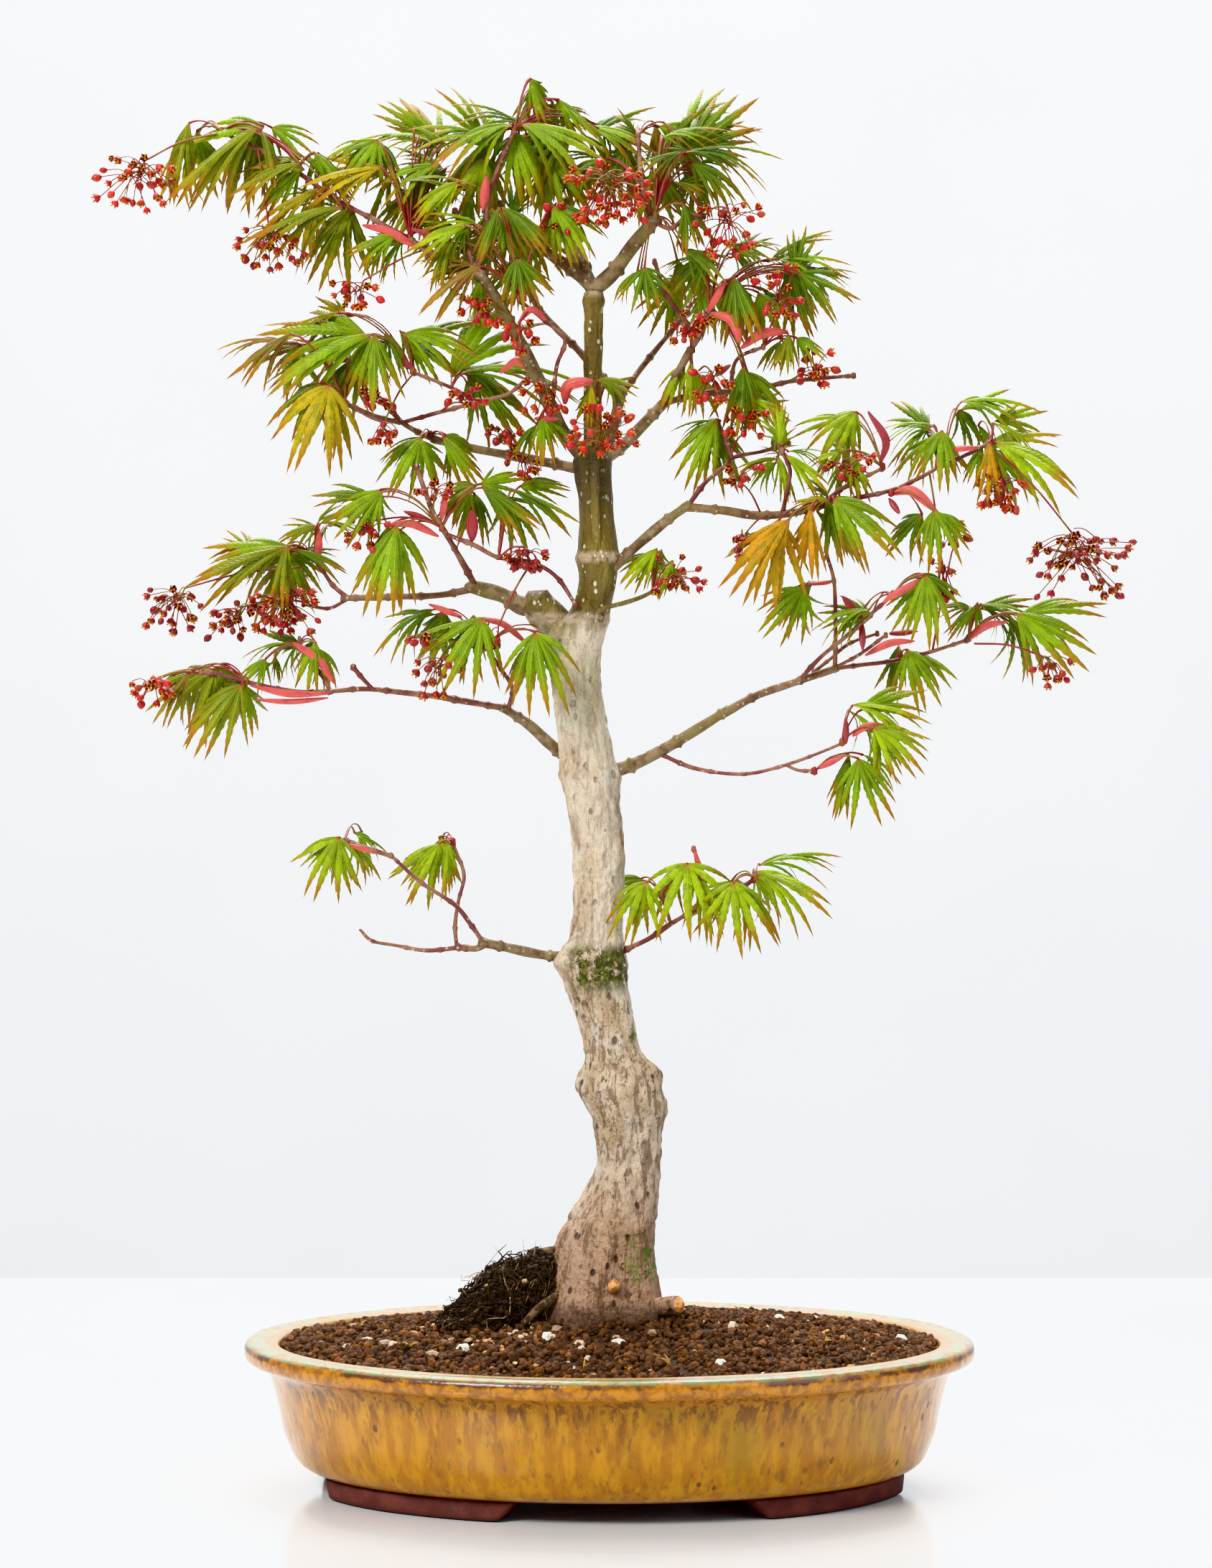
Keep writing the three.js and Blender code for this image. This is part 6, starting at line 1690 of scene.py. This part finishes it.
class BONSAI_OT_trunk(bpy.types.Operator):
    """Raise the trunk with its knots, cuts and root stubs"""

    bl_idname = "bonsai.trunk"
    bl_label = "Trunk"

    def execute(self, context):
        bark = old_bark_finish(settings())
        shapes = [trunk_shape()]
        shapes += cut_stub((-20, 0, 414), (-37, -3, 436), 7.6 * MM, 0.14, 91, (0.1, 0.1, 0.1), 2)
        shapes += cut_stub((14, -8, 88), (33, -24, 92), 4.4 * MM, 0.08, 92, (0.1, 0.1, 0.1), 1)
        shapes += cut_stub((2, -12, 99), (2, -29, 102), 3.2 * MM, 0.1, 93, (0.1, 0.1, 0.1), 1)
        for first, last, points in TRUNK_STEMS:
            shapes.append(tube(spot(points), [first * MM, last * MM], 12, 36, (0.3, 0.3, 0.3), 0, 0.08, 94))
        make_piece("bark_trunk", shapes, [bark, cut_wood_finish(), dark_cut_finish()], ["trunk"])
        return {"FINISHED"}


class BONSAI_OT_limbs(bpy.types.Operator):
    """Grow the limbs with their ring scars and buds"""

    bl_idname = "bonsai.limbs"
    bl_label = "Limbs"

    def execute(self, context):
        bark = branch_finish()
        for node in LIMBS:
            make_piece("bark_" + node, branch_shapes(node), [bark], [node])
        return {"FINISHED"}


class BONSAI_OT_leaves(bpy.types.Operator):
    """Hang the leaves on their petioles, one piece for each spray"""

    bl_idname = "bonsai.leaves"
    bl_label = "Leaves"

    def execute(self, context):
        blade = leaf_finish()
        shoot = shoot_finish()
        seed = settings().leaf_seed * 1000
        for node, (shoot_end, leaves) in SPRAYS.items():
            knuckle = spot([np.array(shoot_end) - [0, 0, 1.5], np.array(shoot_end) + [0, 0, 1.5]])
            shapes = [tube(knuckle, [0.0016, 0.0014], 8, 5, (0, 0, 0), 1)]
            rows = [(row, ODD_LEAVES.get((node, k), SPRAY_TONES.get(node, "leaf")), shoot_end)
                    for k, row in enumerate(leaves)]
            rows += [(row, tone, start[0] if start else shoot_end)
                     for row, tone, *start in SMALL_LEAVES.get(node, [])]
            for row, tone, start in list(rows):
                crowded = 3 if row[2] > 560 else 2
                # Every second companion, set behind its leaf, takes a darker step of its green (leaf to
                # deep, lime to leaf, gold to olive) as painted shade; other tones fall back to plain leaf
                # green.
                shade = {"leaf": "deep", "lime": "leaf", "gold": "olive"}.get(tone, "leaf")
                rows += [(near, shade if k % 2 else tone, start)
                         for k, near in enumerate(companions(row, int(abs(row[0]) * 7 + row[2]), crowded))]
            for row, tone, start in rows:
                seed += 1
                colour = np.array(TONES[tone]) * settings().leaf_strength
                shapes += leaf_shape(row, colour, seed)
                shapes.append(petiole_shape(start, row[:3], seed))
            make_piece("blades_" + node, shapes, [blade, shoot], [node], weld=False)
        return {"FINISHED"}


class BONSAI_OT_scales(bpy.types.Operator):
    """Curl the red bud scales out of the shoots"""

    bl_idname = "bonsai.scales"
    bl_label = "Bud scales"

    def execute(self, context):
        tissue = scale_finish()
        shapes = []
        for seed, (points, width, tone) in enumerate(BUD_SCALES):
            scale = scale_shape(points, width, tone, seed)
            scale.finish = 0
            shapes.append(scale)
        make_piece("bud_scales", shapes, [tissue], weld=False)
        return {"FINISHED"}


class BONSAI_OT_flowers(bpy.types.Operator):
    """Hang the flower clusters on their stalks"""

    bl_idname = "bonsai.flowers"
    bl_label = "Flowers"

    def execute(self, context):
        petal = petal_finish()
        shoot = shoot_finish()
        seed = settings().flower_seed * 100
        for node, clusters in FLOWER_CLUSTERS.items():
            shapes = []
            for cluster in clusters:
                seed += 1
                shapes += cluster_shapes(cluster, seed)
            for shape in shapes:
                shape.finish = {3: 0}.get(shape.finish, 1)
            make_piece("petals_" + node, shapes, [petal, shoot], [node], weld=False)
        return {"FINISHED"}


def flat_sheet(name, corners, material):
    """A rectangle through four corners, part of the stage."""
    mesh = bpy.data.meshes.new(name)
    mesh.from_pydata(corners, [], [(0, 1, 2, 3)])
    mesh.materials.append(material)
    sheet = bpy.data.objects.new(name, mesh)
    bpy.context.scene.collection.objects.link(sheet)
    return sheet


def area_light(name, place, target, size, power, colour):
    """A square soft light at a place, facing a target."""
    lamp = bpy.data.lights.new(name, "AREA")
    lamp.shape = "SQUARE"
    lamp.size = size
    lamp.energy = power
    lamp.color = colour
    light = bpy.data.objects.new(name, lamp)
    light.location = place
    heading = np.array(target, float) - np.array(place, float)
    light.rotation_euler = (math.atan2(math.hypot(heading[0], heading[1]), -heading[2]), 0,
                            math.atan2(heading[1], heading[0]) - math.pi / 2)
    bpy.context.scene.collection.objects.link(light)
    return light


class BONSAI_OT_stage(bpy.types.Operator):
    """Set the white table, the backdrop, the lights and the camera"""

    bl_idname = "bonsai.stage"
    bl_label = "Stage"

    def execute(self, context):
        chosen = settings()
        top = -0.0003
        flat_sheet("stage_table", [(-4, -3, top), (4, -3, top), (4, 0.76, top), (-4, 0.76, top)],
                   table_finish())
        flat_sheet("stage_wall", [(-9, 4.2, -4), (9, 4.2, -4), (9, 4.2, 7), (-9, 4.2, 7)], wall_finish())
        world = bpy.data.worlds.new("studio")
        world.use_nodes = True
        world.node_tree.nodes["Background"].inputs["Color"].default_value = (0.92, 0.96, 1.0, 1)
        world.node_tree.nodes["Background"].inputs["Strength"].default_value = 0.45
        context.scene.world = world
        area_light("key", (-1.5, -2.0, 2.0), (0, 0, 0.3), 0.9, 92, (1.0, 0.97, 0.92))
        area_light("fill", (2.0, -1.6, 1.4), (0, 0, 0.3), 1.8, 24, (0.92, 0.96, 1.0))
        area_light("top", (0.0, 0.3, 2.4), (0, 0, 0.2), 1.6, 26, (1.0, 1.0, 1.0))
        area_light("wall_wash", (0.0, 2.6, 4.2), (0, 4.2, 0.9), 3.2, 450, (1.0, 1.0, 1.0))
        context.scene.view_settings.view_transform = "Khronos PBR Neutral"
        lens = bpy.data.cameras.new("camera")
        lens.sensor_fit = "VERTICAL"
        lens.sensor_height = 36
        lens.lens = chosen.lens
        lens.dof.use_dof = False
        camera = bpy.data.objects.new("camera", lens)
        camera.location = (-0.0018, -chosen.camera_distance, chosen.camera_height)
        camera.rotation_euler = (math.pi / 2, 0, 0)
        context.scene.collection.objects.link(camera)
        context.scene.camera = camera
        return {"FINISHED"}


class BONSAI_PT_panel(bpy.types.Panel):
    """Lists the settings and the steps"""

    bl_label = "Flowering maple bonsai"
    bl_idname = "BONSAI_PT_panel"
    bl_space_type = "VIEW_3D"
    bl_region_type = "UI"
    bl_category = "Bonsai"

    def draw(self, context):
        column = self.layout.column()
        for key in BonsaiSettings.__annotations__:
            column.prop(context.scene.bonsai_settings, key)
        for operator in OPERATORS:
            column.operator(operator.bl_idname)


OPERATORS = (
    BONSAI_OT_pot,
    BONSAI_OT_feet,
    BONSAI_OT_drains,
    BONSAI_OT_soil,
    BONSAI_OT_roots,
    BONSAI_OT_trunk,
    BONSAI_OT_limbs,
    BONSAI_OT_leaves,
    BONSAI_OT_scales,
    BONSAI_OT_flowers,
    BONSAI_OT_stage,
)
CLASSES = (BonsaiSettings, *OPERATORS, BONSAI_PT_panel)


def register():
    for item in CLASSES:
        bpy.utils.register_class(item)
    bpy.types.Scene.bonsai_settings = bpy.props.PointerProperty(type=BonsaiSettings)


def unregister():
    del bpy.types.Scene.bonsai_settings
    for item in reversed(CLASSES):
        bpy.utils.unregister_class(item)


def main():
    """Runs every step in order."""
    register()
    for operator in OPERATORS:
        group, _, step = operator.bl_idname.partition(".")
        getattr(getattr(bpy.ops, group), step)()


if __name__ == "__main__":
    main()
